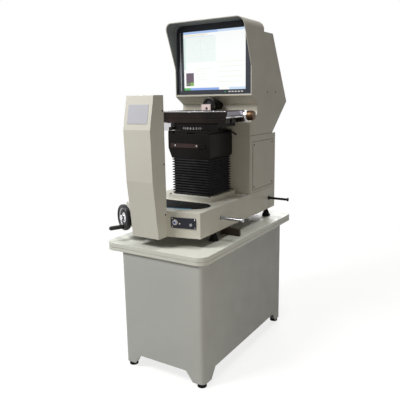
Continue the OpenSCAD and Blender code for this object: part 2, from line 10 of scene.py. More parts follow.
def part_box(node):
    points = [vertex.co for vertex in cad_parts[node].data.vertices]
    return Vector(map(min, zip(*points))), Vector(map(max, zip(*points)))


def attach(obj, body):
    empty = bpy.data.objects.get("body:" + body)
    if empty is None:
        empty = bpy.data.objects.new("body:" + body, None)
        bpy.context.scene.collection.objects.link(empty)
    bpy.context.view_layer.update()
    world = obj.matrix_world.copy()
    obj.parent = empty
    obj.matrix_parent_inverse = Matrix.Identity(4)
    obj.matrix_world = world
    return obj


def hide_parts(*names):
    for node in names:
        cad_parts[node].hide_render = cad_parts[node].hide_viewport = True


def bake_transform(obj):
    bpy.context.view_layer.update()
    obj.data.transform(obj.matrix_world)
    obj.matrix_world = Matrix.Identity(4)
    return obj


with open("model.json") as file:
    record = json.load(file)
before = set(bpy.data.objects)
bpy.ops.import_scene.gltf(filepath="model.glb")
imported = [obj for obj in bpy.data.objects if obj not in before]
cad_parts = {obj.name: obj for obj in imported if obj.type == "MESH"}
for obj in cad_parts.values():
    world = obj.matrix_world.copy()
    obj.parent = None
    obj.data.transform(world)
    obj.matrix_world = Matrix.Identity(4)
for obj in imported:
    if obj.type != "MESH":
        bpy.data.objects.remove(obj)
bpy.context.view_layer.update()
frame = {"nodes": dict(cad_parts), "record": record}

BODY_OF = {node: body for body, nodes in frame["record"]["behaviour"]["bodies"].items() for node in nodes}
FRAME_BODY = BODY_OF["base"]
UP = Vector((0, 0, 1))
RIGHT = Vector((1, 0, 0))
FRONT = Vector((0, -1, 0))
BACK = Vector((0, 1, 0))

# Camera: the photograph's viewpoint, fitted to its edges

LENS_PIXELS = 494.3
PHOTO_PIXELS = 400
SENSOR_MM = 36.0
EYE = Vector((1.2961, -2.1827, 1.2616))
YAW_DEG = 32.32
PITCH_DEG = 11.57
ROLL_DEG = -0.99


def place_camera():
    lens = bpy.data.cameras.new("photo_camera")
    lens.sensor_width = SENSOR_MM
    lens.lens = LENS_PIXELS / PHOTO_PIXELS * SENSOR_MM
    camera = bpy.data.objects.new("photo_camera", lens)
    aim = Euler((math.radians(90 - PITCH_DEG), 0, math.radians(YAW_DEG))).to_matrix()
    roll = Matrix.Rotation(math.radians(ROLL_DEG), 3, "Z")
    camera.matrix_world = Matrix.Translation(EYE) @ (aim @ roll).to_4x4()
    bpy.context.scene.collection.objects.link(camera)
    bpy.context.scene.camera = camera


# Shader helpers

def start_material(name):
    material = bpy.data.materials.new(name)
    material.use_nodes = True
    nodes = material.node_tree.nodes
    return material, nodes, material.node_tree.links, nodes["Principled BSDF"]


def noise(nodes, links, scale, detail=4.0, stretch=None):
    place = nodes.new("ShaderNodeTexCoord").outputs["Object"]
    if stretch:
        mapping = nodes.new("ShaderNodeMapping")
        mapping.inputs["Scale"].default_value = stretch
        links.new(place, mapping.inputs["Vector"])
        place = mapping.outputs["Vector"]
    texture = nodes.new("ShaderNodeTexNoise")
    texture.inputs["Scale"].default_value = scale
    texture.inputs["Detail"].default_value = detail
    links.new(place, texture.inputs["Vector"])
    return texture.outputs["Fac"]


def spread(nodes, links, value, low, high, start=0.3, stop=0.7):
    node = nodes.new("ShaderNodeMapRange")
    node.inputs["From Min"].default_value = start
    node.inputs["From Max"].default_value = stop
    node.inputs["To Min"].default_value = low
    node.inputs["To Max"].default_value = high
    links.new(value, node.inputs["Value"])
    return node.outputs["Result"]


def blend_colours(nodes, links, factor, first, second):
    node = nodes.new("ShaderNodeMix")
    node.data_type = "RGBA"
    links.new(factor, node.inputs["Factor"])
    for socket, colour in ((node.inputs[6], first), (node.inputs[7], second)):
        if isinstance(colour, tuple):
            socket.default_value = (*colour, 1)
        else:
            links.new(colour, socket)
    return node.outputs[2]


def soft_edges(nodes, radius):
    node = nodes.new("ShaderNodeBevel")
    node.samples = 4
    node.inputs["Radius"].default_value = radius
    return node.outputs["Normal"]


EDGE_WORN = 0.8
EDGE_FLAT = 0.99


def edge_mask(nodes, links, normal):
    """One along rounded edges and zero on the flats."""
    flat = nodes.new("ShaderNodeNewGeometry").outputs["True Normal"]
    dot = nodes.new("ShaderNodeVectorMath")
    dot.operation = "DOT_PRODUCT"
    links.new(normal, dot.inputs[0])
    links.new(flat, dot.inputs[1])
    return spread(nodes, links, dot.outputs["Value"], 1.0, 0.0, EDGE_WORN, EDGE_FLAT)


def bump(nodes, links, height, strength, distance, normal):
    node = nodes.new("ShaderNodeBump")
    node.inputs["Strength"].default_value = strength
    node.inputs["Distance"].default_value = distance
    links.new(height, node.inputs["Height"])
    links.new(normal, node.inputs["Normal"])
    return node.outputs["Normal"]


# Finishes

DULL = 0.05
WEAR_SCALE = 60.0
WEAR_MOST = 0.8
SMEAR_SCALE = 14.0
TOOL_LINE_SCALE = 40.0
DUST_SCALE = 30.0
SCUFF_SCALE = 90.0
FLECK_SCALE = 1500.0
BOARD_DRIFT_SCALE = 2.5
BOARD_SHEEN_SCALE = 22.0
GLASS_SMEAR_SCALE = 50.0
PICTURE_CELL_SCALE = 1800.0


def paint(name, colour, shade, worn, grain=900.0, rough=0.42, depth=0.00012, radius=0.0025,
          gloss=0.5, drift=3.5):
    """Sprayed paint: fine orange peel, a slow drift of tone and rubbed edges."""
    material, nodes, links, surface = start_material(name)
    normal = soft_edges(nodes, radius)
    # The slow drift is tone; on the stage table its brown shade colour is painted reflection.
    slow = spread(nodes, links, noise(nodes, links, drift, 5.0), 0.0, 1.0)
    tone = blend_colours(nodes, links, slow, colour, shade)
    rubbed = edge_mask(nodes, links, normal)
    patchy = nodes.new("ShaderNodeMath")
    patchy.operation = "MULTIPLY"
    links.new(rubbed, patchy.inputs[0])
    links.new(spread(nodes, links, noise(nodes, links, WEAR_SCALE), 0.0, WEAR_MOST), patchy.inputs[1])
    coat = blend_colours(nodes, links, patchy.outputs["Value"], tone, worn)
    links.new(coat, surface.inputs["Base Color"])
    smear = spread(nodes, links, noise(nodes, links, SMEAR_SCALE), rough - 0.06, rough + 0.08)
    links.new(smear, surface.inputs["Roughness"])
    peel = noise(nodes, links, grain, 2.0)
    links.new(bump(nodes, links, peel, 0.35, depth, normal), surface.inputs["Normal"])
    surface.inputs["Specular IOR Level"].default_value = gloss
    return material


def brushed(name, colour, shade, stretch, rough=0.24, radius=0.0008):
    """Turned or ground metal with fine tool lines along one way."""
    material, nodes, links, surface = start_material(name)
    surface.inputs["Metallic"].default_value = 1.0
    lines = noise(nodes, links, TOOL_LINE_SCALE, 6.0, stretch)
    tone = blend_colours(nodes, links, spread(nodes, links, lines, 0.0, 1.0), colour, shade)
    links.new(tone, surface.inputs["Base Color"])
    links.new(spread(nodes, links, lines, rough - 0.06, rough + 0.1), surface.inputs["Roughness"])
    ridges = bump(nodes, links, lines, 0.15, 0.00005, soft_edges(nodes, radius))
    links.new(ridges, surface.inputs["Normal"])
    return material


def rubber(name, colour, shade, rough=0.7, grain=1400.0, gloss=DULL):
    """Matt rubber, coated cloth or dark lining, a little dusty."""
    material, nodes, links, surface = start_material(name)
    surface.inputs["Specular IOR Level"].default_value = gloss
    dust = spread(nodes, links, noise(nodes, links, DUST_SCALE, 6.0), 0.0, 1.0)
    links.new(blend_colours(nodes, links, dust, colour, shade), surface.inputs["Base Color"])
    scuffs = spread(nodes, links, noise(nodes, links, SCUFF_SCALE), rough - 0.08, rough + 0.1)
    links.new(scuffs, surface.inputs["Roughness"])
    skin = bump(nodes, links, noise(nodes, links, grain, 2.0), 0.3, 0.0001, soft_edges(nodes, 0.0012))
    links.new(skin, surface.inputs["Normal"])
    return material


def speckled_board(name):
    """Laminate: pale, with a fine fleck, a faint bump and a soft sheen."""
    material, nodes, links, surface = start_material(name)
    fleck = spread(nodes, links, noise(nodes, links, FLECK_SCALE, 1.0), 0.0, 1.0, 0.42, 0.62)
    drift = spread(nodes, links, noise(nodes, links, BOARD_DRIFT_SCALE), 0.0, 1.0)
    ground = blend_colours(nodes, links, drift, BOARD_LIGHT, BOARD_DARK)
    links.new(blend_colours(nodes, links, fleck, ground, BOARD_FLECK), surface.inputs["Base Color"])
    sheen = spread(nodes, links, noise(nodes, links, BOARD_SHEEN_SCALE), 0.34, 0.48)
    links.new(sheen, surface.inputs["Roughness"])
    links.new(bump(nodes, links, fleck, 0.12, 0.00005, soft_edges(nodes, 0.003)), surface.inputs["Normal"])
    return material


def clear_glass(name, tint):
    """Coated glass with faint smears."""
    material, nodes, links, surface = start_material(name)
    surface.inputs["Base Color"].default_value = (*tint, 1)
    surface.inputs["Transmission Weight"].default_value = 0.85
    surface.inputs["IOR"].default_value = 1.5
    surface.inputs["Coat Weight"].default_value = 0.6
    smear = spread(nodes, links, noise(nodes, links, GLASS_SMEAR_SCALE), 0.03, 0.08)
    links.new(smear, surface.inputs["Roughness"])
    return material


def glow(name, colour, strength):
    """A lit patch of the screen with a faint grain of picture cells."""
    material, nodes, links, surface = start_material(name)
    surface.inputs["Emission Strength"].default_value = strength
    cells = spread(nodes, links, noise(nodes, links, PICTURE_CELL_SCALE, 0.0), 0.0, 1.0)
    shade = tuple(c * 0.94 for c in colour)
    lit = blend_colours(nodes, links, cells, colour, shade)
    links.new(lit, surface.inputs["Emission Color"])
    surface.inputs["Base Color"].default_value = (*(c * 0.05 for c in colour), 1)
    surface.inputs["Roughness"].default_value = 0.25
    return material


CREAM = (0.60, 0.59, 0.52)
CREAM_SHADE = (0.565, 0.55, 0.48)
CREAM_WORN = (0.72, 0.71, 0.65)
GREY = (0.46, 0.47, 0.445)
GREY_SHADE = (0.43, 0.44, 0.415)
GREY_WORN = (0.53, 0.54, 0.52)
BOARD_LIGHT = (0.66, 0.67, 0.60)
BOARD_DARK = (0.62, 0.63, 0.56)
BOARD_FLECK = (0.57, 0.58, 0.52)
BLACK = (0.0085, 0.0082, 0.0078)
BLACK_SHADE = (0.015, 0.0128, 0.0115)
BLACK_WORN = (0.07, 0.07, 0.072)

FINISH = {
    "cream_paint": paint("cream_paint", CREAM, CREAM_SHADE, CREAM_WORN, radius=0.004, gloss=0.2),
    "grey_paint": paint("grey_paint", GREY, GREY_SHADE, GREY_WORN,
                        grain=1300.0, rough=0.5, radius=0.003, gloss=0.3),
    "pale_board": speckled_board("pale_board"),
    "black_rubber": rubber("black_rubber", (0.008, 0.008, 0.009), (0.016, 0.016, 0.016)),
    "black_iron": paint("black_iron", BLACK, BLACK_SHADE, BLACK_WORN,
                        grain=700.0, rough=0.38, radius=0.0015, gloss=DULL),
    "black_paint": paint("black_paint", BLACK, BLACK_SHADE, BLACK_WORN,
                         rough=0.3, radius=0.001, gloss=0.12),
    "black_plastic": paint("black_plastic", (0.010, 0.010, 0.011), (0.014, 0.014, 0.016),
                           (0.04, 0.04, 0.044), grain=2000.0, rough=0.36, depth=0.00008,
                           radius=0.0012, gloss=0.3),
    "bright_steel": brushed("bright_steel", (0.66, 0.66, 0.68), (0.52, 0.52, 0.54), (1.0, 14.0, 14.0)),
    "bright_aluminium": brushed("bright_aluminium", (0.62, 0.61, 0.63), (0.52, 0.51, 0.53),
                                (2.0, 14.0, 14.0), 0.36),
    "brown_metal": brushed("brown_metal", (0.115, 0.072, 0.042), (0.07, 0.042, 0.024),
                           (12.0, 1.0, 1.0), 0.40),
    "bronze": brushed("bronze", (0.55, 0.38, 0.16), (0.42, 0.28, 0.11), (10.0, 10.0, 1.0), 0.34),
    "white_plastic": paint("white_plastic", (0.76, 0.74, 0.74), (0.70, 0.68, 0.68), (0.82, 0.80, 0.80),
                           grain=2000.0, rough=0.35, depth=0.00006, radius=0.0008),
    "clear_glass": clear_glass("clear_glass", (0.86, 0.90, 0.95)),
    "lit_screen": glow("lit_screen", (0.82, 0.87, 0.92), 0.55),
}
CHROME = brushed("chrome_plate", (0.80, 0.80, 0.82), (0.70, 0.70, 0.73), (6.0, 6.0, 6.0), 0.12)
# Near-black for the crosses in screw heads and the louvre slots: painted shade in recesses and openings.
RECESS_SHADE = rubber("painted_recess_shade", (0.006, 0.006, 0.006), (0.012, 0.012, 0.012), 0.8)
SEAM = rubber("panel_seam", (0.20, 0.19, 0.16), (0.16, 0.15, 0.13), 0.75)
LILAC = paint("lilac_plate", (0.52, 0.51, 0.62), (0.49, 0.48, 0.59), (0.6, 0.6, 0.66),
              rough=0.4, radius=0.0004)
ROD_STEEL = brushed("rod_steel", (0.36, 0.36, 0.37), (0.27, 0.27, 0.28), (14.0, 1.0, 1.0), 0.28)
# Darker, warmer copy of the cream paint for the head, hood, column, side panel, rear cover and louvre lips:
# painted shade, not a different paint.
SHADED_CREAM_PAINT = paint("shaded_cream_paint", (0.535, 0.515, 0.445), (0.505, 0.485, 0.415), (0.64, 0.62, 0.55),
                   radius=0.004, gloss=0.2)

# Nodes whose finish differs from the rest of their slot
OWN_FINISH = {
    "bezel": paint("bezel_plastic", (0.033, 0.038, 0.048), (0.038, 0.043, 0.053), (0.08, 0.085, 0.1),
                   grain=2400.0, rough=0.45, depth=0.00006, radius=0.001, gloss=0.25),
    "control_panel": paint("panel_film", (0.010, 0.012, 0.022), (0.013, 0.016, 0.027),
                           (0.04, 0.045, 0.06), grain=2600.0, rough=0.3, depth=0.00004,
                           radius=0.0008, gloss=0.3),
    "rest_bar": paint("brown_bar", (0.030, 0.023, 0.017), (0.042, 0.032, 0.024), (0.10, 0.085, 0.07),
                      gloss=0.2),
    "lamp_plate": paint("grey_plate", (0.45, 0.455, 0.49), (0.42, 0.425, 0.46), (0.55, 0.55, 0.58),
                        rough=0.5, radius=0.0004, gloss=0.3),
    "saddle_strip": paint("red_strip", (0.034, 0.014, 0.011), (0.022, 0.010, 0.008),
                          (0.08, 0.045, 0.04), rough=0.3, radius=0.0006, gloss=0.3),
    # Black with slow brown patches: the brown is painted reflection on black paint.
    "stage_table": paint("stage_paint_painted_reflection", (0.009, 0.0088, 0.0085), (0.026, 0.0175, 0.015), BLACK_WORN,
                         grain=700.0, rough=0.34, radius=0.0015, gloss=0.1, drift=9.0),
    "lens_glass": paint("coated_lens", (0.020, 0.022, 0.028), (0.026, 0.028, 0.036), (0.05, 0.05, 0.06),
                        grain=200.0, rough=0.12, depth=0.00001, radius=0.0004),
    "light_knob": paint("knob_grey", (0.36, 0.36, 0.37), (0.32, 0.32, 0.33), (0.5, 0.5, 0.5),
                        radius=0.0006),
    "mirror_plate": paint("rose_plate", (0.82, 0.66, 0.64), (0.78, 0.62, 0.60), (0.9, 0.8, 0.78),
                          radius=0.0006),
    "rod_fr": ROD_STEEL,
    # The head's parts take the darker copy of the cream: painted shade.
    "head_shell": SHADED_CREAM_PAINT,
    "hood": SHADED_CREAM_PAINT,
    "column": SHADED_CREAM_PAINT,
    "column_panel": SHADED_CREAM_PAINT,
    "rear_cover": SHADED_CREAM_PAINT,
}


def finish_cad_nodes():
    slot_of = {part["node"]: part["material_slot"] for part in frame["record"]["subparts"]}
    for name, thing in frame["nodes"].items():
        thing.data.materials.clear()
        thing.data.materials.append(OWN_FINISH.get(name, FINISH[slot_of[name]]))


# Mesh helpers

def new_piece(name, mesh, body, slot, *materials):
    thing = bpy.data.objects.new(name, mesh)
    bpy.context.scene.collection.objects.link(thing)
    for material in materials:
        mesh.materials.append(material)
    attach(thing, body)


def to_mesh(name, shape):
    bmesh.ops.remove_doubles(shape, verts=shape.verts, dist=1e-6)
    bmesh.ops.recalc_face_normals(shape, faces=shape.faces)
    mesh = bpy.data.meshes.new(name)
    shape.to_mesh(mesh)
    shape.free()
    return mesh


def smooth(mesh, angle_deg=35):
    mesh.shade_smooth()
    mesh.set_sharp_from_angle(angle=math.radians(angle_deg))
    return mesh


def add_slab(shape, low, high, bevel=0.0, place=None, index=0):
    """A box with softened edges, between two corners."""
    made = bmesh.ops.create_cube(shape, size=1.0)
    verts = made["verts"]
    size = Vector(high) - Vector(low)
    middle = (Vector(high) + Vector(low)) / 2
    bmesh.ops.scale(shape, vec=size, verts=verts)
    bmesh.ops.translate(shape, vec=middle, verts=verts)
    faces = list({face for vert in verts for face in vert.link_faces})
    if bevel:
        edges = list({edge for vert in verts for edge in vert.link_edges})
        made = bmesh.ops.bevel(shape, geom=edges, offset=bevel, segments=2, affect="EDGES", profile=0.7)
        faces = list({face for vert in made["verts"] for face in vert.link_faces} | set(made["faces"]))
        verts = list({vert for face in faces for vert in face.verts})
    for face in faces:
        face.material_index = index
    if place:
        bmesh.ops.transform(shape, matrix=place, verts=verts)


def add_lathe(shape, outline, place, steps=48, index=0):
    """Turns (radius, height) points round the local Z axis; a radius of 0 closes the end."""
    rings = []
    for radius, height in outline:
        if radius == 0:
            rings.append([shape.verts.new(place @ Vector((0, 0, height)))])
            continue
        rings.append([shape.verts.new(place @ Vector((radius * math.cos(2 * math.pi * i / steps),
                                                      radius * math.sin(2 * math.pi * i / steps), height)))
                      for i in range(steps)])
    for lower, upper in zip(rings, rings[1:]):
        for i in range(steps):
            corners = [lower[i % len(lower)], lower[(i + 1) % len(lower)],
                       upper[(i + 1) % len(upper)], upper[i % len(upper)]]
            face = shape.faces.new(list(dict.fromkeys(corners)))
            face.material_index = index


def facing(origin, outward):
    """A place whose local Z points outward."""
    return Matrix.Translation(Vector(origin)) @ Vector(outward).to_track_quat("Z", "Y").to_matrix().to_4x4()


# Geometry Nodes helpers

def start_tree(name, sizes):
    tree = bpy.data.node_groups.new(name, "GeometryNodeTree")
    tree.interface.new_socket("Geometry", in_out="INPUT", socket_type="NodeSocketGeometry")
    for label in sizes:
        tree.interface.new_socket(label, in_out="INPUT", socket_type="NodeSocketFloat")
    tree.interface.new_socket("Geometry", in_out="OUTPUT", socket_type="NodeSocketGeometry")
    return tree, tree.nodes.new("NodeGroupInput"), tree.nodes.new("NodeGroupOutput")


def vector_of(tree, *parts):
    node = tree.nodes.new("ShaderNodeCombineXYZ")
    for socket, part in zip(node.inputs, parts):
        if isinstance(part, (int, float)):
            socket.default_value = part
        else:
            tree.links.new(part, socket)
    return node.outputs["Vector"]


def times(tree, value, factor):
    node = tree.nodes.new("ShaderNodeMath")
    node.operation = "MULTIPLY"
    tree.links.new(value, node.inputs[0])
    node.inputs[1].default_value = factor
    return node.outputs["Value"]


def with_material(tree, geometry, material):
    node = tree.nodes.new("GeometryNodeSetMaterial")
    tree.links.new(geometry, node.inputs["Geometry"])
    node.inputs["Material"].default_value = material
    return node.outputs["Geometry"]


def joined(tree, *geometries):
    node = tree.nodes.new("GeometryNodeJoinGeometry")
    for geometry in reversed(geometries):
        tree.links.new(geometry, node.inputs["Geometry"])
    return node.outputs["Geometry"]


def moved(tree, geometry, shift=None, scale=None):
    node = tree.nodes.new("GeometryNodeTransform")
    tree.links.new(geometry, node.inputs["Geometry"])
    if shift:
        tree.links.new(shift, node.inputs["Translation"])
    if scale:
        tree.links.new(scale, node.inputs["Scale"])
    return node.outputs["Geometry"]


def set_on_points(tree, points, shape, material):
    """Sets a shape on each point, its Z along the point's aim and its X along the point's along."""
    rotation = None
    for attribute, axis in (("aim", "Z"), ("along", "X")):
        read = tree.nodes.new("GeometryNodeInputNamedAttribute")
        read.data_type = "FLOAT_VECTOR"
        read.inputs["Name"].default_value = attribute
        align = tree.nodes.new("FunctionNodeAlignRotationToVector")
        align.axis = axis
        if rotation:
            align.pivot_axis = "Z"
            tree.links.new(rotation, align.inputs["Rotation"])
        tree.links.new(read.outputs["Attribute"], align.inputs["Vector"])
        rotation = align.outputs["Rotation"]
    spots = tree.nodes.new("GeometryNodeInstanceOnPoints")
    tree.links.new(points, spots.inputs["Points"])
    tree.links.new(shape, spots.inputs["Instance"])
    tree.links.new(rotation, spots.inputs["Rotation"])
    real = tree.nodes.new("GeometryNodeRealizeInstances")
    tree.links.new(spots.outputs["Instances"], real.inputs["Geometry"])
    return with_material(tree, real.outputs["Geometry"], material)


RECESS_LONG = 1.15
RECESS_SHORT = 0.24
RECESS_DEEP = 0.5
RECESS_UP = 0.74


def cross_screw_tree(head, recess):
    """A domed screw head with a crossed recess."""
    tree, source, sink = start_tree("cross_screws", ("Head Radius", "Head Height"))
    points = source.outputs["Geometry"]
    radius, height = source.outputs["Head Radius"], source.outputs["Head Height"]
    dome = tree.nodes.new("GeometryNodeMeshUVSphere")
    dome.inputs["Segments"].default_value = 16
    dome.inputs["Rings"].default_value = 8
    dome.inputs["Radius"].default_value = 1.0
    cap = moved(tree, dome.outputs["Mesh"], None, vector_of(tree, radius, radius, height))
    bars = []
    # The cross is near-black bars sunk in the dome: painted shade of the recess.
    for along, across in ((RECESS_LONG, RECESS_SHORT), (RECESS_SHORT, RECESS_LONG)):
        bar = tree.nodes.new("GeometryNodeMeshCube")
        size = vector_of(tree, times(tree, radius, along), times(tree, radius, across),
                         times(tree, height, RECESS_DEEP))
        tree.links.new(size, bar.inputs["Size"])
        bars.append(moved(tree, bar.outputs["Mesh"], vector_of(tree, 0, 0, times(tree, height, RECESS_UP))))
    heads = set_on_points(tree, points, cap, head)
    crosses = set_on_points(tree, points, joined(tree, *bars), recess)
    tree.links.new(joined(tree, heads, crosses), sink.inputs["Geometry"])
    return tree


def bar_tree(name, material):
    """A small bar on each point: a degree mark, a rib or a louvre."""
    labels = ("Length", "Width", "Height")
    tree, source, sink = start_tree(name, labels)
    bar = tree.nodes.new("GeometryNodeMeshCube")
    tree.links.new(vector_of(tree, *(source.outputs[label] for label in labels)), bar.inputs["Size"])
    bars = set_on_points(tree, source.outputs["Geometry"], bar.outputs["Mesh"], material)
    tree.links.new(bars, sink.inputs["Geometry"])
    return tree


def grow(name, tree, sizes, points):
    """Runs a tree on points of (place, aim, along) and gives back a plain mesh."""
    seed = bpy.data.meshes.new(name + "_points")
    seed.from_pydata([tuple(spot[0]) for spot in points], [], [])
    for index, label in ((1, "aim"), (2, "along")):
        layer = seed.attributes.new(label, "FLOAT_VECTOR", "POINT")
        for entry, spot in zip(layer.data, points):
            entry.vector = spot[index]
    holder = bpy.data.objects.new(name + "_holder", seed)
    bpy.context.scene.collection.objects.link(holder)
    modifier = holder.modifiers.new("grow", "NODES")
    modifier.node_group = tree
    for item in tree.interface.items_tree:
        if item.in_out == "INPUT" and item.name in sizes:
            modifier[item.identifier] = float(sizes[item.name])
    depsgraph = bpy.context.evaluated_depsgraph_get()
    made = holder.evaluated_get(depsgraph)
    mesh = bpy.data.meshes.new_from_object(made, preserve_all_data_layers=True, depsgraph=depsgraph)
    mesh.name = name
    holder.modifiers.clear()
    bpy.data.objects.remove(holder)
    return mesh


def set_row(name, tree, sizes, points, body, slot):
    """A row of grown shapes as one piece."""
    new_piece(name, grow(name, tree, sizes, points), body, slot)


# Bellows

PLEATS = 14
FOLD_DEPTH = 0.009
BELLOWS_CORNER = 0.006
FOLD_SMOOTH_DEG = 50
# One pleat: how far up it is, and how far in, as shares of its height and of the fold's depth
FOLD = ((0.0, 1.0), (0.12, 0.93), (0.40, 0.10), (0.50, 0.0), (0.60, 0.10), (0.88, 0.93))


def ring_of(half_x, half_y, radius, steps=4):
    """Points of a rectangle with rounded corners, round the middle."""
    points = []
    for corner, (sign_x, sign_y) in enumerate(((1, 1), (-1, 1), (-1, -1), (1, -1))):
        for i in range(steps + 1):
            angle = math.pi / 2 * (corner + i / steps)
            points.append((sign_x * (half_x - radius) + radius * math.cos(angle),
                           sign_y * (half_y - radius) + radius * math.sin(angle)))
    return points


def sew_bellows():
    """Folded cloth between the base plate and the saddle."""
    low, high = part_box("bellows")
    middle = (Vector(low) + Vector(high)) / 2
    half_x, half_y = (high[0] - low[0]) / 2, (high[1] - low[1]) / 2
    levels = [(pleat + share, depth) for pleat in range(PLEATS) for share, depth in FOLD] + [(PLEATS, 1.0)]
    shape = bmesh.new()
    rings = []
    for level, depth in levels:
        z = low[2] + (high[2] - low[2]) * level / PLEATS
        inset = FOLD_DEPTH * depth
        rings.append([shape.verts.new((middle.x + x, middle.y + y, z))
                      for x, y in ring_of(half_x - inset, half_y - inset, BELLOWS_CORNER)])
    count = len(rings[0])
    for lower, upper in zip(rings, rings[1:]):
        for i in range(count):
            shape.faces.new((lower[i], lower[(i + 1) % count], upper[(i + 1) % count], upper[i]))
    shape.faces.new(rings[0])
    shape.faces.new(rings[-1])
    mesh = smooth(to_mesh("bellows_cloth", shape), FOLD_SMOOTH_DEG)
    cloth = bpy.data.objects.new("bellows_cloth", mesh)
    bpy.context.scene.collection.objects.link(cloth)
    mesh.materials.append(rubber("coated_cloth", (0.016, 0.016, 0.018), (0.03, 0.03, 0.032), 0.5, 2600.0))
    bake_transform(cloth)
    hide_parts("bellows")


# Screen

PICTURE_W = 0.376
PICTURE_H = 0.301
FRONT_STEP = 0.0003
INKS = {
    "window": glow("window_white", (0.95, 0.97, 0.96), 0.98),
    "title": glow("title_blue", (0.42, 0.58, 0.92), 0.92),
    "pale": glow("title_pale", (0.62, 0.76, 0.96), 0.92),
    "yellow": glow("tool_yellow", (0.90, 0.82, 0.52), 0.92),
    "mint": glow("margin_mint", (0.76, 0.89, 0.86), 0.92),
    "line": glow("line_faint", (0.74, 0.76, 0.74), 0.92),
    "row": glow("row_tint", (0.88, 0.88, 0.78), 0.97),
    "frost": glow("view_frost", (0.86, 0.93, 0.91), 0.97),
    "plum": glow("view_plum", (0.15, 0.105, 0.14), 0.9),
    "green": glow("trace_green", (0.24, 0.46, 0.11), 0.9),
    "start": glow("key_green", (0.12, 0.48, 0.15), 0.9),
    "task": glow("task_blue", (0.27, 0.42, 0.84), 0.92),
}
# Ink, left, bottom, right and top as shares of the picture, and layer
PATCHES = (
    ("window", 0.0, 0.0, 1.0, 1.0, 0),
    ("title", 0.0, 0.962, 0.56, 1.0, 1),
    ("pale", 0.56, 0.962, 1.0, 1.0, 1),
    ("yellow", 0.0, 0.936, 0.40, 0.950, 1),
    ("pale", 0.0, 0.905, 0.50, 0.913, 1),
    ("mint", 0.0, 0.36, 0.035, 0.90, 1),
    ("task", 0.11, 0.0, 0.58, 0.040, 1),
    ("pale", 0.74, 0.0, 1.0, 0.040, 1),
    ("start", 0.0, 0.0, 0.11, 0.040, 1),
    ("plum", 0.035, 0.075, 0.165, 0.30, 1),
    ("green", 0.105, 0.075, 0.165, 0.135, 2),
    ("green", 0.04, 0.105, 0.09, 0.118, 2),
    ("frost", 0.035, 0.48, 0.53, 0.90, 1),
    ("row", 0.545, 0.462, 1.0, 0.472, 1),
    ("row", 0.19, 0.36, 0.46, 0.370, 1),
    ("line", 0.11, 0.6885, 0.46, 0.6905, 2),
    ("line", 0.284, 0.50, 0.286, 0.88, 2),
)
TEXT_ROWS = 4
RIGHT_ROWS = {"left": 0.57, "right": 0.95, "ragged": -0.05, "bottom": 0.385, "pitch": 0.085, "height": 0.009}
LEFT_ROWS = {"left": 0.20, "right": 0.34, "ragged": 0.04, "bottom": 0.325, "pitch": 0.05, "height": 0.007}
TOOL_KEYS = 9
TOOL_KEYS_LEFT, TOOL_KEYS_BOTTOM, TOOL_KEYS_TOP = 0.05, 0.918, 0.930
TOOL_KEY_PITCH = 0.035
TOOL_KEY_W = 0.018
CIRCLE_DASHES = 36
CIRCLE_X, CIRCLE_Z, CIRCLE_R = 0.285, 0.69, 0.15
DASH_HALF = 0.004


def draw_screen_picture():
    """A made-up measuring window, as thin lit patches on the panel."""
    low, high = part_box("screen")
    left = (low[0] + high[0] - PICTURE_W) / 2
    bottom = (low[2] + high[2] - PICTURE_H) / 2
    patches = list(PATCHES)
    for row in range(TEXT_ROWS):
        for block in (RIGHT_ROWS, LEFT_ROWS):
            z = block["bottom"] - row * block["pitch"]
            end = block["right"] + block["ragged"] * (row % 2)
            patches.append(("row", block["left"], z, end, z + block["height"], 1))
    for key in range(TOOL_KEYS):
        start = TOOL_KEYS_LEFT + key * TOOL_KEY_PITCH
        patches.append(("line", start, TOOL_KEYS_BOTTOM, start + TOOL_KEY_W, TOOL_KEYS_TOP, 1))
    for dash in range(CIRCLE_DASHES):
        angle = 2 * math.pi * dash / CIRCLE_DASHES
        x = CIRCLE_X + CIRCLE_R * math.cos(angle) * PICTURE_H / PICTURE_W
        z = CIRCLE_Z + CIRCLE_R * math.sin(angle)
        patches.append(("line", x - DASH_HALF, z - DASH_HALF, x + DASH_HALF, z + DASH_HALF, 2))
    names = list(INKS)
    shape = bmesh.new()
    for ink, x0, z0, x1, z1, layer in patches:
        y = low[1] - FRONT_STEP * layer
        add_slab(shape, (left + x0 * PICTURE_W, y - FRONT_STEP, bottom + z0 * PICTURE_H),
                 (left + x1 * PICTURE_W, y, bottom + z1 * PICTURE_H), index=names.index(ink))
    new_piece("screen_picture", to_mesh("screen_picture", shape), FRAME_BODY, "lit_screen", *INKS.values())


MONITOR_KEYS = 5
KEY_EDGE = 0.020
KEY_PITCH = 0.018
KEY_HALF = 0.006
KEY_DROP, KEY_H = 0.0085, 0.0050
KEY_PROUD = 0.0015
# The bright line left of the picture is a painted highlight: its offset, half width, foot and how far it
# stands out.
HIGHLIGHT_LINE_OFFSET = 0.0150
HIGHLIGHT_LINE_HALF = 0.0015
HIGHLIGHT_LINE_FOOT = 0.004
HIGHLIGHT_LINE_PROUD = 0.0006
POWER_EDGE, POWER_W = 0.116, 0.004
POWER_DROP, POWER_H = 0.0100, 0.0020
POWER_PROUD = 0.0012
TRIM_ROOT = 0.001


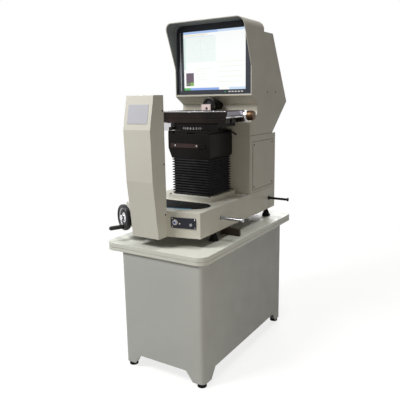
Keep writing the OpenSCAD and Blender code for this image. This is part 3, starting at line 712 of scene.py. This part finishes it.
def trim_monitor():
    """Keys, lamp, and a bright line on the monitor frame left of the picture, a painted highlight of the
    frame's edge.
    """
    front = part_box("bezel")[0][1]
    low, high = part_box("screen")
    bottom = (low[2] + high[2] - PICTURE_H) / 2
    right = (low[0] + high[0] + PICTURE_W) / 2
    root = front + TRIM_ROOT
    shape = bmesh.new()
    for key in range(MONITOR_KEYS):
        x = right - KEY_EDGE - key * KEY_PITCH
        add_slab(shape, (x - KEY_HALF, front - KEY_PROUD, bottom - KEY_DROP - KEY_H),
                 (x + KEY_HALF, root, bottom - KEY_DROP), 0.0006)
    # Bright aluminium line left of the picture: painted highlight of the frame's edge.
    x = right - PICTURE_W - HIGHLIGHT_LINE_OFFSET
    add_slab(shape, (x - HIGHLIGHT_LINE_HALF, front - HIGHLIGHT_LINE_PROUD, bottom - HIGHLIGHT_LINE_FOOT),
             (x + HIGHLIGHT_LINE_HALF, root, bottom + PICTURE_H), 0.0003, index=1)
    x = right - POWER_EDGE
    add_slab(shape, (x - POWER_W, front - POWER_PROUD, bottom - POWER_DROP - POWER_H),
             (x, root, bottom - POWER_DROP), 0.0004, index=2)
    power = glow("power_green", (0.1, 0.9, 0.3), 1.2)
    new_piece("monitor_trim", to_mesh("monitor_trim", shape), FRAME_BODY, "black_plastic",
              FINISH["white_plastic"], FINISH["bright_aluminium"], power)


# Hood lining

SHOULDER_R = 0.040
HOOD_WALL = 0.004
HEAD_WALL = 0.005
LINING = 0.0005
LINING_GAP = 0.00005
HOOD_RIM = 0.003
RIM_SPARE = 1.2


def shoulder_path(low, high, inset, bottom, steps=10):
    """Points (x, z) up the left side, over the rounded shoulders and down the right side."""
    radius = SHOULDER_R - inset
    left, right, top = low[0] + SHOULDER_R, high[0] - SHOULDER_R, high[2] - SHOULDER_R
    points = [(left - radius, bottom)]
    for middle, start in ((left, 180), (right, 90)):
        for i in range(steps + 1):
            angle = math.radians(start - 90 * i / steps)
            points.append((middle + radius * math.cos(angle), top + radius * math.sin(angle)))
    return points + [(right + radius, bottom)]


def lining(name, low, high, inset, bottom, front_at, back):
    """A thin closed skin on the inside of the walls, from its front edge to a depth."""
    shape = bmesh.new()
    rings = []
    outside = shoulder_path(low, high, inset, bottom)
    inside = shoulder_path(low, high, inset + LINING, bottom)
    for (outer_x, outer_z), (inner_x, inner_z) in zip(outside, inside):
        corners = ((outer_x, front_at(outer_z), outer_z), (outer_x, back, outer_z),
                   (inner_x, back, inner_z), (inner_x, front_at(inner_z), inner_z))
        rings.append([shape.verts.new(corner) for corner in corners])
    for one, two in zip(rings, rings[1:]):
        for i in range(4):
            shape.faces.new((one[i], one[(i + 1) % 4], two[(i + 1) % 4], two[i]))
    shape.faces.new(rings[0])
    shape.faces.new(rings[-1])
    return smooth(to_mesh(name, shape))


def line_hood():
    """Mid-grey matt skin inside the hood, partly paint and partly painted shade, and dark matt paint on the
    walls of the screen's recess.
    """
    low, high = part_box("hood")
    lean = (high[1] - low[1]) / (high[2] - low[2])
    face = high[1]

    def hood_front(z):
        return face - (z - low[2]) * lean + HOOD_RIM

    def recess_front(z):
        return face + LINING

    # The hood's skin is darker than the cream outside: part grey paint, part painted shade of the hood's
    # inside.
    grey = rubber("hood_shade_lining", (0.185, 0.200, 0.198), (0.165, 0.178, 0.176), 0.6, 900.0)
    bottom = low[2] + HOOD_RIM / lean * RIM_SPARE
    skin = lining("hood_shade_lining", low, high, HOOD_WALL + LINING_GAP, bottom, hood_front, face - LINING_GAP)
    new_piece("hood_shade_lining", skin, FRAME_BODY, "black_paint", grey)
    navy = rubber("recess_lining", (0.150, 0.170, 0.190), (0.165, 0.185, 0.205), 0.45, 900.0, 0.5)
    bezel_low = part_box("bezel")[0]
    skin = lining("recess_lining", low, high, HEAD_WALL + LINING_GAP, bezel_low[2], recess_front,
                  bezel_low[1] - LINING_GAP)
    new_piece("recess_lining", skin, FRAME_BODY, "black_paint", navy)


# Fasteners

COVER_SCREW = {"Head Radius": 0.0042, "Head Height": 0.0020}
SMALL_SCREW = {"Head Radius": 0.0028, "Head Height": 0.0014}
PLATE_SCREW = {"Head Radius": 0.0055, "Head Height": 0.0030}
COVER_INSET = 0.014
HEAD_SCREWS_BACK = (0.204, 0.312)
HEAD_SCREWS_UP = 0.219
LAMP_SCREWS_UP = (0.103, 0.330, 0.560)
LAMP_SCREWS_IN = 0.009
PLATE_INSET = 0.011
STRIP_SCREWS_ALONG = (0.027, 0.151)
PANEL_SCREWS_ACROSS = 0.054
PANEL_SCREWS_UP = 0.018
PANEL_MIDDLE = Vector((0.0950, -0.4245, 0.7220))
PANEL_OUT = Vector((0.1997, -0.9799, 0.0))
PANEL_ALONG = Vector((0.9799, 0.1997, 0.0))
PANEL_FACE = 0.003
REAR_OUT = Vector((0.0, 0.8701, 0.4930))
REAR_DOWN = Vector((0.0, 0.4930, -0.8701))
REAR_INSET = 0.016
REAR_THICK = 0.0016


def on_panel(across, up, out=0.0):
    return PANEL_MIDDLE + PANEL_ALONG * across + UP * up + PANEL_OUT * (PANEL_FACE + out)


def rear_cover_edges():
    """Points on the slanted rear cover's outer face near its upper and lower edge, with X left at zero."""
    low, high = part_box("rear_cover")
    top = Vector((0, low[1], high[2] - REAR_THICK * REAR_OUT.z)) + REAR_OUT * REAR_THICK
    bottom = Vector((0, high[1] - REAR_THICK * REAR_OUT.y, low[2])) + REAR_OUT * REAR_THICK
    return top + REAR_DOWN * REAR_INSET, bottom - REAR_DOWN * REAR_INSET


def drive_screws():
    """Screws of the covers, the bellows' plate, the control panel, the strip and the rear cover."""
    bright = cross_screw_tree(FINISH["bright_steel"], RECESS_SHADE)
    dark = cross_screw_tree(FINISH["black_iron"], RECESS_SHADE)
    low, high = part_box("column_panel")
    spots = [(Vector((high[0], y, z)), RIGHT, BACK)
             for y in (low[1] + COVER_INSET, high[1] - COVER_INSET)
             for z in (low[2] + COVER_INSET, high[2] - COVER_INSET)]
    low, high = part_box("head_shell")
    for back in HEAD_SCREWS_BACK:
        spots.append((Vector((high[0], low[1] + back, low[2] + HEAD_SCREWS_UP)), RIGHT, BACK))
        spots.append((Vector((low[0], low[1] + back, low[2] + HEAD_SCREWS_UP)), -RIGHT, BACK))
    low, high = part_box("lamp_column")
    for up in LAMP_SCREWS_UP:
        spots.append((Vector((high[0], high[1] - LAMP_SCREWS_IN, low[2] + up)), RIGHT, BACK))
        spots.append((Vector((low[0], high[1] - LAMP_SCREWS_IN, low[2] + up)), -RIGHT, BACK))
    set_row("cover_screws", dark, COVER_SCREW, spots, FRAME_BODY, "black_iron")

    low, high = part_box("bellows_plate")
    spots = [(Vector((x, y, high[2])), UP, RIGHT)
             for x in (low[0] + PLATE_INSET, high[0] - PLATE_INSET)
             for y in (low[1] + PLATE_INSET, high[1] - PLATE_INSET)]
    set_row("plate_screws", dark, PLATE_SCREW, spots, FRAME_BODY, "black_iron")

    spots = [(on_panel(across, up), PANEL_OUT, PANEL_ALONG)
             for across in (-PANEL_SCREWS_ACROSS, PANEL_SCREWS_ACROSS)
             for up in (-PANEL_SCREWS_UP, PANEL_SCREWS_UP)]
    set_row("panel_screws", bright, SMALL_SCREW, spots, FRAME_BODY, "bright_steel")

    low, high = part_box("saddle_strip")
    spots = [(Vector((low[0] + along, low[1], (low[2] + high[2]) / 2)), FRONT, RIGHT)
             for along in STRIP_SCREWS_ALONG]
    set_row("strip_screws", bright, COVER_SCREW, spots, "lift", "bright_steel")

    low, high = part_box("rear_cover")
    spots = [(Vector((x, 0, 0)) + edge, REAR_OUT, RIGHT)
             for x in (low[0] + REAR_INSET, (low[0] + high[0]) / 2, high[0] - REAR_INSET)
             for edge in rear_cover_edges()]
    set_row("rear_screws", bright, COVER_SCREW, spots, FRAME_BODY, "bright_steel")


LOUVRE_ROWS = 9
LOUVRE_COLUMNS = 2
ROWS_START, ROWS_SPAN = 0.16, 0.40
COLUMNS_START, COLUMNS_STEP = 0.28, 0.44
LOUVRE_SLOT = {"Length": 0.105, "Width": 0.005, "Height": 0.0010}
LOUVRE_LIP = {"Length": 0.109, "Width": 0.0034, "Height": 0.0060}
LIP_UP = 0.0042


def cut_louvres():
    """Cooling slots pressed in the rear cover, each under a lip."""
    low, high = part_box("rear_cover")
    top_edge, bottom_edge = rear_cover_edges()
    spots = []
    for row in range(LOUVRE_ROWS):
        for column in range(LOUVRE_COLUMNS):
            share = ROWS_START + ROWS_SPAN * row / (LOUVRE_ROWS - 1)
            x = low[0] + (high[0] - low[0]) * (COLUMNS_START + COLUMNS_STEP * column)
            spots.append((Vector((x, 0, 0)) + top_edge.lerp(bottom_edge, share), REAR_OUT, RIGHT))
    # Each slot is a thin near-black bar: painted shade of the opening.
    slots = bar_tree("louvres", RECESS_SHADE)
    set_row("louvre_slots", slots, LOUVRE_SLOT, spots, FRAME_BODY, "black_paint")
    # The lips take the darker copy of the cream: painted shade.
    lips = bar_tree("louvre_lips", SHADED_CREAM_PAINT)
    raised = [(place - REAR_DOWN * LIP_UP, aim, along) for place, aim, along in spots]
    set_row("louvre_lips", lips, LOUVRE_LIP, raised, FRAME_BODY, "cream_paint")


# Stage

SWIVEL_MIDDLE = Vector((-0.0265, -0.0725, 0.0))
SWIVEL_R = 0.096
SCALE_REACH_DEG = 60
SCALE_STEP_DEG = 5
SCALE_LONG_DEG = 10
SCALE_DROP = 0.0055
SHORT_MARK = {"Length": 0.006, "Width": 0.0012, "Height": 0.0004}
LONG_MARK = {"Length": 0.012, "Width": 0.0020, "Height": 0.0004}


def mark_swivel():
    """White degree marks on the front of the swivel plate's rim, longer at each ten degrees."""
    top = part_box("swivel_plate")[1][2]
    short_spots, long_spots = [], []
    for step in range(-SCALE_REACH_DEG, SCALE_REACH_DEG + 1, SCALE_STEP_DEG):
        angle = math.radians(-90 + step)
        out = Vector((math.cos(angle), math.sin(angle), 0))
        place = SWIVEL_MIDDLE + out * SWIVEL_R + UP * (top - SCALE_DROP)
        spots = short_spots if step % SCALE_LONG_DEG else long_spots
        spots.append((place, out, UP))
    marks = bar_tree("degree_marks", FINISH["white_plastic"])
    set_row("degree_marks", marks, SHORT_MARK, short_spots, "swivel", "white_plastic")
    set_row("ten_degree_marks", marks, LONG_MARK, long_spots, "swivel", "white_plastic")


STAGE_L = 0.380
END_BLOCK_D = 0.056
BAND_ROOT = 0.0004
RAIL_DROP, RAIL_H = 0.0250, 0.0080
PLATE_DROP, PLATE_H = 0.0030, 0.0190
# The bright strip along the front edge is a painted highlight: its drop below the top and its height.
HIGHLIGHT_STRIP_DROP, HIGHLIGHT_STRIP_H = 0.0006, 0.0034


def trim_stage():
    """Bright strip along the stage table's front edge, a painted highlight of that edge, and the pale plate
    and rail on its right end.
    """
    low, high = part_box("stage_table")
    end = low[0] + STAGE_L
    block_front = high[1] - END_BLOCK_D
    back = block_front - 0.002
    shape = bmesh.new()

    def band(x0, x1, y0, y1, drop, height, bevel, index=0):
        top = high[2] - drop
        add_slab(shape, (x0, y0, top - height), (x1, y1, top), bevel, index=index)

    # Bright steel strip along the top front edge: painted highlight of the edge.
    band(low[0] + 0.001, end - 0.001, low[1] - 0.0008, low[1] + 0.0006, HIGHLIGHT_STRIP_DROP, HIGHLIGHT_STRIP_H, 0.0003)
    band(end - BAND_ROOT, end + 0.0035, low[1] + 0.002, back, RAIL_DROP, RAIL_H, 0.0008)
    band(end - BAND_ROOT, end + 0.0020, low[1] + 0.012, back, PLATE_DROP, PLATE_H, 0.0006, 1)
    for proud, drop, height, bevel, index in ((0.0024, RAIL_DROP, RAIL_H, 0.0008, 0),
                                              (0.0016, PLATE_DROP, PLATE_H, 0.0006, 1)):
        band(end + BAND_ROOT, high[0], block_front - proud, block_front + BAND_ROOT,
             drop, height, bevel, index)
    new_piece("stage_bands", to_mesh("stage_bands", shape), "stage", "bright_aluminium",
              FINISH["bright_steel"], LILAC)


APRON_T = 0.004
APRON_CLEAR = 0.0018
APRON_INSET = 0.0004
APRON_REACH = 0.58
RAIL_INSET = 0.0002
RAIL_CLEAR = 0.0015
RAIL_ROOT = 0.0006
RAIL_BELOW = 0.0012
STRIP_SHOWN = 0.160
STRIP_PROUD = 0.0006


def hang_aprons():
    """Dark aprons under the stage bed's front, the saddle's side rail and the cover on its strip's end."""
    low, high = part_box("stage_bed")
    slide_low, slide_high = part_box("focus_slide")
    reach = SWIVEL_R * APRON_REACH
    shape = bmesh.new()
    for x0, x1 in ((low[0], SWIVEL_MIDDLE.x - reach), (SWIVEL_MIDDLE.x + reach, high[0])):
        add_slab(shape, (x0 + APRON_INSET, low[1] + APRON_INSET, slide_high[2] + APRON_CLEAR),
                 (x1, low[1] + APRON_T, low[2] + APRON_INSET), 0.0008)
    new_piece("bed_aprons", to_mesh("bed_aprons", shape), "swivel", "black_iron", FINISH["black_iron"])

    low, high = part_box("saddle")
    shape = bmesh.new()
    add_slab(shape, (low[0] + RAIL_INSET, low[1] + RAIL_INSET, slide_low[2] - RAIL_ROOT),
             (slide_low[0] - RAIL_CLEAR, high[1] - RAIL_INSET, slide_high[2] - RAIL_BELOW), 0.0012)
    low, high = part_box("saddle_strip")
    add_slab(shape, (low[0] + STRIP_SHOWN, low[1] - STRIP_PROUD, low[2] - STRIP_PROUD),
             (high[0] + STRIP_PROUD, high[1], high[2] + STRIP_PROUD), 0.0002)
    new_piece("saddle_rail", to_mesh("saddle_rail", shape), "lift", "black_iron", FINISH["black_iron"])


# Outlines to turn are (radius, height) points, in metres

KNOB_R = 0.0230
KNOB_L = 0.0420
FLANGE_R = 0.0270
FLANGE_T = 0.0100
COLLAR_L = 0.0050
COLLAR_END = FLANGE_T + COLLAR_L
FLANGE_OUTLINE = (
    (KNOB_R, FLANGE_T - 0.0006), (KNOB_R, FLANGE_T + 0.0006), (FLANGE_R - 0.001, FLANGE_T + 0.0006),
    (FLANGE_R + 0.0004, FLANGE_T - 0.0008), (FLANGE_R + 0.0004, 0.0012), (FLANGE_R, 0.0008),
    (FLANGE_R - 0.0006, 0.0012), (FLANGE_R - 0.0006, FLANGE_T - 0.0006), (KNOB_R, FLANGE_T - 0.0006),
)
COLLAR_OUTLINE = (
    (KNOB_R - 0.0004, FLANGE_T + 0.0004), (KNOB_R + 0.0022, FLANGE_T + 0.0004),
    (KNOB_R + 0.0022, COLLAR_END - 0.0010), (KNOB_R + 0.0012, COLLAR_END),
    (KNOB_R - 0.0004, COLLAR_END), (KNOB_R - 0.0004, FLANGE_T + 0.0004),
)
KNOB_CAP_OUTLINE = ((0.0, 0.0012), (0.0150, 0.0012), (0.0180, 0.0004), (0.0180, -0.0004), (0.0, -0.0004))
KNOB_RIBS = 30
KNOB_RIB = {"Length": KNOB_L - COLLAR_END - 0.003, "Width": 0.0022, "Height": 0.0024}


def turn_knob():
    """Chrome flange and collar, ribs and end cap of the stage knob."""
    low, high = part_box("stage_knob")
    axis_y, axis_z = (low[1] + high[1]) / 2, (low[2] + high[2]) / 2
    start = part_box("stage_table")[1][0]
    place = facing((start, axis_y, axis_z), RIGHT)
    shape = bmesh.new()
    add_lathe(shape, FLANGE_OUTLINE, place)
    add_lathe(shape, COLLAR_OUTLINE, place)
    add_lathe(shape, KNOB_CAP_OUTLINE, facing((high[0], axis_y, axis_z), RIGHT), index=1)
    new_piece("knob_chrome", smooth(to_mesh("knob_chrome", shape)), "knob", "bright_steel",
              CHROME, FINISH["brown_metal"])
    middle = Vector((start + (COLLAR_END + KNOB_L) / 2, axis_y, axis_z))
    spots = []
    for rib in range(KNOB_RIBS):
        angle = 2 * math.pi * rib / KNOB_RIBS
        out = Vector((0, math.cos(angle), math.sin(angle)))
        spots.append((middle + out * KNOB_R, out, RIGHT))
    ribs = bar_tree("knob_ribs", FINISH["brown_metal"])
    set_row("knob_ribs", ribs, KNOB_RIB, spots, "knob", "brown_metal")


# Base

WHEEL_MIDDLE = Vector((-0.2226, -0.4524, 0.7190))
WHEEL_OUT = Vector((-0.4540, -0.8910, 0.0))
HUB_CAP_OUTLINE = ((0.0, 0.0215), (0.0060, 0.0210), (0.0105, 0.0190), (0.0138, 0.0168),
                   (0.0150, 0.0158), (0.0, 0.0158))
RIM_RING_OUTLINE = ((0.0385, 0.0029), (0.0385, 0.0045), (0.0400, 0.0062), (0.0430, 0.0075),
                    (0.0455, 0.0080), (0.0455, 0.0029), (0.0385, 0.0029))
HUB_RING_OUTLINE = ((0.0151, 0.0029), (0.0151, 0.0090), (0.0165, 0.0072), (0.0195, 0.0050),
                    (0.0240, 0.0036), (0.0240, 0.0029), (0.0151, 0.0029))


def trim_wheel():
    """Chrome cap and ring on the handwheel's hub, and a steel ring inside its rim."""
    place = facing(WHEEL_MIDDLE, WHEEL_OUT)
    shape = bmesh.new()
    add_lathe(shape, HUB_CAP_OUTLINE, place)
    add_lathe(shape, RIM_RING_OUTLINE, place, index=1)
    add_lathe(shape, HUB_RING_OUTLINE, place)
    new_piece("wheel_cap", smooth(to_mesh("wheel_cap", shape)), "wheel", "bright_steel", CHROME, ROD_STEEL)


BUTTON_ACROSS, BUTTON_UP = -0.040, 0.002
BUTTON_FRONT = 0.006
SIGNAL_ACROSS, SIGNAL_UP = -0.017, -0.003
BUTTON_RING_OUTLINE = ((0.0096, 0.0), (0.0096, 0.0020), (0.0108, 0.0026), (0.0126, 0.0018),
                       (0.0130, 0.0), (0.0096, 0.0))
BUTTON_FACE_OUTLINE = ((0.0, 0.0010), (0.0035, 0.0009), (0.0055, 0.0005), (0.0060, -0.0002), (0.0, -0.0002))
SIGNAL_OUTLINE = ((0.0, 0.0026), (0.0020, 0.0022), (0.0034, 0.0009), (0.0036, 0.0), (0.0, 0.0))


def trim_panel():
    """White ring round the start button, its blue face and the signal lamp."""
    shape = bmesh.new()
    add_lathe(shape, BUTTON_RING_OUTLINE, facing(on_panel(BUTTON_ACROSS, BUTTON_UP), PANEL_OUT))
    add_lathe(shape, SIGNAL_OUTLINE, facing(on_panel(SIGNAL_ACROSS, SIGNAL_UP), PANEL_OUT), steps=24)
    new_piece("panel_trim", smooth(to_mesh("panel_trim", shape)), FRAME_BODY, "white_plastic",
              FINISH["white_plastic"])
    shape = bmesh.new()
    place = facing(on_panel(BUTTON_ACROSS, BUTTON_UP, BUTTON_FRONT), PANEL_OUT)
    add_lathe(shape, BUTTON_FACE_OUTLINE, place, steps=32)
    blue = paint("button_blue", (0.03, 0.09, 0.36), (0.04, 0.11, 0.40), (0.1, 0.2, 0.5), radius=0.0004)
    new_piece("button_face", smooth(to_mesh("button_face", shape)), "button", "white_plastic", blue)


TRAY_END_X = 0.123
TRAY_SLOPE_DEG = 16.0
EDGING_FRONT, EDGING_BACK = 0.0006, 0.0160
EDGING_ROOT, EDGING_TOP = 0.0004, 0.0016


def trim_tray():
    """Thin blue edging along the tray mat's front."""
    low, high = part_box("tray_mat")
    middle = (low[0] + high[0]) / 2
    radius = (high[0] - low[0]) / 2 - TRAY_END_X
    slope = math.radians(TRAY_SLOPE_DEG)
    reach = TRAY_END_X + radius * math.sin(slope)
    shape = bmesh.new()
    for side in (-1, 1):
        place = Matrix.Translation((middle, low[1], high[2])) @ Matrix.Rotation(side * slope, 4, "Z")
        start, stop = sorted((0.0, side * reach / math.cos(slope)))
        add_slab(shape, (start, EDGING_FRONT, -EDGING_ROOT), (stop, EDGING_BACK, EDGING_TOP), 0.0004, place)
    blue = paint("blue_edging", (0.015, 0.23, 0.40), (0.012, 0.19, 0.34), (0.10, 0.38, 0.5), radius=0.0005)
    new_piece("tray_edging", to_mesh("tray_edging", shape), FRAME_BODY, "black_rubber", blue)


# Light path

LENS_RING_R = 0.034
LENS_BODY_R = 0.028
LENS_LINE_OUTLINE = (
    (LENS_RING_R - 0.0005, -0.0040), (LENS_RING_R + 0.0003, -0.0040), (LENS_RING_R + 0.0003, -0.0052),
    (LENS_RING_R - 0.0005, -0.0052), (LENS_RING_R - 0.0005, -0.0040),
)
LENS_GRIP_OUTLINE = (
    (LENS_BODY_R - 0.0005, -0.0400), (LENS_RING_R - 0.002, -0.0400), (LENS_RING_R - 0.0004, -0.0412),
    (LENS_RING_R - 0.0004, -0.0488), (LENS_RING_R - 0.002, -0.0500), (LENS_BODY_R - 0.0005, -0.0500),
    (LENS_BODY_R - 0.0005, -0.0400),
)
SIGHT_ACROSS = 0.031
SIGHT_UP = 0.009
SIGHT_OUTLINE = ((0.0036, -0.0004), (0.0036, 0.0008), (0.0066, 0.0008), (0.0070, -0.0004), (0.0036, -0.0004))
CONDENSER_OUTLINE = ((0.0240, -0.0005), (0.0240, 0.0008), (0.0292, 0.0008), (0.0300, 0.0),
                     (0.0300, -0.0005), (0.0240, -0.0005))


def trim_optics():
    """Rings on the lens barrel, the mirror plate's sight hole and the condenser."""
    low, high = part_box("lens_barrel")
    axis_x, axis_z = (low[0] + high[0]) / 2, (low[2] + high[2]) / 2
    lens_tip = facing((axis_x, low[1], axis_z), FRONT)
    condenser_tip = facing((axis_x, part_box("condenser_barrel")[1][1], axis_z), BACK)
    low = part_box("mirror_plate")[0]
    sight = facing((low[0] + SIGHT_ACROSS, low[1], low[2] + SIGHT_UP), FRONT)
    shape = bmesh.new()
    add_lathe(shape, LENS_LINE_OUTLINE, lens_tip, index=1)
    add_lathe(shape, LENS_GRIP_OUTLINE, lens_tip)
    add_lathe(shape, SIGHT_OUTLINE, sight, steps=32)
    add_lathe(shape, CONDENSER_OUTLINE, condenser_tip, index=1)
    new_piece("optics_rings", smooth(to_mesh("optics_rings", shape)), FRAME_BODY, "black_paint",
              FINISH["black_paint"], FINISH["bright_steel"])


# Joint lines and inlet

SEAM_HALF = 0.0011
SEAM_PROUD = 0.0003
SEAM_FRONT = 0.004
SEAM_BACK = 0.045
PANEL_LINE = 0.0022


def mark_seams():
    """Fine joint line between the column and the head, and the line round the side panel."""
    low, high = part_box("column")
    shape = bmesh.new()
    for x0, x1 in ((high[0], high[0] + SEAM_PROUD), (low[0] - SEAM_PROUD, low[0])):
        add_slab(shape, (x0, low[1] + SEAM_FRONT, high[2] - SEAM_HALF),
                 (x1, high[1] - SEAM_BACK, high[2] + SEAM_HALF))
    low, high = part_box("column_panel")
    proud = low[0] + SEAM_PROUD
    for z0, z1 in ((low[2] - PANEL_LINE, low[2]), (high[2], high[2] + PANEL_LINE)):
        add_slab(shape, (low[0], low[1] - PANEL_LINE, z0), (proud, high[1] + PANEL_LINE, z1))
    for y0, y1 in ((low[1] - PANEL_LINE, low[1]), (high[1], high[1] + PANEL_LINE)):
        add_slab(shape, (low[0], y0, low[2]), (proud, y1, high[2]))
    new_piece("head_seam", to_mesh("head_seam", shape), FRAME_BODY, "cream_paint", SEAM)


PIN_PLACES = ((-0.007, -0.002), (0.0, 0.003), (0.007, -0.002))
PIN_HALF_W, PIN_HALF_H = 0.001, 0.002
PIN_ROOT, PIN_TIP = 0.0050, 0.0008


def pin_inlet():
    """Contact pins in the mains inlet."""
    low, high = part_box("inlet")
    middle_x, middle_z = (low[0] + high[0]) / 2, (low[2] + high[2]) / 2
    shape = bmesh.new()
    for across, up in PIN_PLACES:
        x, z = middle_x + across, middle_z + up
        add_slab(shape, (x - PIN_HALF_W, high[1] - PIN_ROOT, z - PIN_HALF_H),
                 (x + PIN_HALF_W, high[1] - PIN_TIP, z + PIN_HALF_H), 0.0004)
    new_piece("inlet_pins", to_mesh("inlet_pins", shape), FRAME_BODY, "bright_steel", FINISH["bright_steel"])


# Stage set: floor, background and lamps

FLOOR_HALF = 4.0
FLOOR_DROP = 0.0005
FLOOR_GLOW = 0.80
FLOOR_GREY = (0.26, 0.26, 0.255)
FADE_START = 1.0
FADE_STOP = 3.2


def seen_directly(nodes, links):
    """One for rays from the camera, from mirrors and through glass."""
    path = nodes.new("ShaderNodeLightPath")
    seen = path.outputs["Is Camera Ray"]
    for ray in ("Is Glossy Ray", "Is Transmission Ray"):
        either = nodes.new("ShaderNodeMath")
        either.operation = "MAXIMUM"
        links.new(seen, either.inputs[0])
        links.new(path.outputs[ray], either.inputs[1])
        seen = either.outputs["Value"]
    return seen


def plain_floor_material():
    """White to the eye, with the object's shadow kept; dull to other light, so that it throws little back.

    Away from the object it fades to the plain white of the background.
    """
    material, nodes, links, surface = start_material("pale_floor")
    reach = nodes.new("ShaderNodeVectorMath")
    reach.operation = "LENGTH"
    links.new(nodes.new("ShaderNodeTexCoord").outputs["Object"], reach.inputs[0])
    far = spread(nodes, links, reach.outputs["Value"], 0.0, 1.0, FADE_START, FADE_STOP)
    links.new(blend_colours(nodes, links, far, FLOOR_GREY, (0.0, 0.0, 0.0)), surface.inputs["Base Color"])
    surface.inputs["Roughness"].default_value = 1.0
    surface.inputs["Specular IOR Level"].default_value = 0.0
    surface.inputs["Emission Color"].default_value = (1, 1, 1, 1)
    lit = nodes.new("ShaderNodeMath")
    lit.operation = "MULTIPLY"
    links.new(seen_directly(nodes, links), lit.inputs[0])
    links.new(spread(nodes, links, far, FLOOR_GLOW, 1.0, 0.0, 1.0), lit.inputs[1])
    links.new(lit.outputs["Value"], surface.inputs["Emission Strength"])
    return material


def lay_floor():
    corners = [(x * FLOOR_HALF, y * FLOOR_HALF, -FLOOR_DROP) for x, y in ((-1, -1), (1, -1), (1, 1), (-1, 1))]
    mesh = bpy.data.meshes.new("studio_floor")
    mesh.from_pydata(corners, [], [(0, 1, 2, 3)])
    mesh.materials.append(plain_floor_material())
    floor = bpy.data.objects.new("studio_floor", mesh)
    bpy.context.scene.collection.objects.link(floor)


ROOM_TINT = (1.0, 0.93, 0.84)
ROOM_LEVEL = 0.125


def light_world():
    """Faint warm light from all round; plain white where the background itself is seen."""
    world = bpy.data.worlds.new("studio")
    bpy.context.scene.world = world
    world.use_nodes = True
    nodes, links = world.node_tree.nodes, world.node_tree.links
    nodes.clear()
    room = nodes.new("ShaderNodeBackground")
    room.inputs["Color"].default_value = (*ROOM_TINT, 1)
    room.inputs["Strength"].default_value = ROOM_LEVEL
    white = nodes.new("ShaderNodeBackground")
    white.inputs["Color"].default_value = (1, 1, 1, 1)
    white.inputs["Strength"].default_value = 1.0
    mix = nodes.new("ShaderNodeMixShader")
    links.new(seen_directly(nodes, links), mix.inputs["Fac"])
    links.new(room.outputs["Background"], mix.inputs[1])
    links.new(white.outputs["Background"], mix.inputs[2])
    links.new(mix.outputs["Shader"], nodes.new("ShaderNodeOutputWorld").inputs["Surface"])


WHITE_LIGHT = (1.0, 1.0, 1.0)
WARM_LIGHT = (1.0, 0.92, 0.82)
# Name, place, target, size, watts and colour
LAMPS = (
    ("key_lamp", (-1.7, -2.8, 4.1), (0.0, 0.0, 0.9), 1.6, 218.0, WHITE_LIGHT),
    ("ceiling_lamp", (0.6, 0.1, 7.0), (0.0, 0.0, 0.9), 1.2, 135.0, WHITE_LIGHT),
    ("fill_lamp", (1.65, -1.45, 0.5), (0.0, -0.1, 0.6), 1.0, 9.5, WARM_LIGHT),
    ("back_lamp", (-0.9, 2.6, 1.7), (0.0, 0.2, 0.9), 1.2, 26.0, WHITE_LIGHT),
)


def hang_lamp(name, place, target, size, watts, colour):
    data = bpy.data.lights.new(name, "AREA")
    data.shape = "SQUARE"
    data.size = size
    data.energy = watts
    data.color = colour
    lamp = bpy.data.objects.new(name, data)
    lamp.location = place
    lamp.rotation_euler = (Vector(target) - Vector(place)).to_track_quat("-Z", "Y").to_euler()
    bpy.context.scene.collection.objects.link(lamp)


place_camera()
finish_cad_nodes()
sew_bellows()
draw_screen_picture()
trim_monitor()
line_hood()
drive_screws()
cut_louvres()
mark_swivel()
trim_stage()
hang_aprons()
turn_knob()
trim_wheel()
trim_panel()
trim_tray()
trim_optics()
mark_seams()
pin_inlet()
lay_floor()
light_world()
for lamp_row in LAMPS:
    hang_lamp(*lamp_row)

bpy.context.scene.view_settings.view_transform = "Standard"
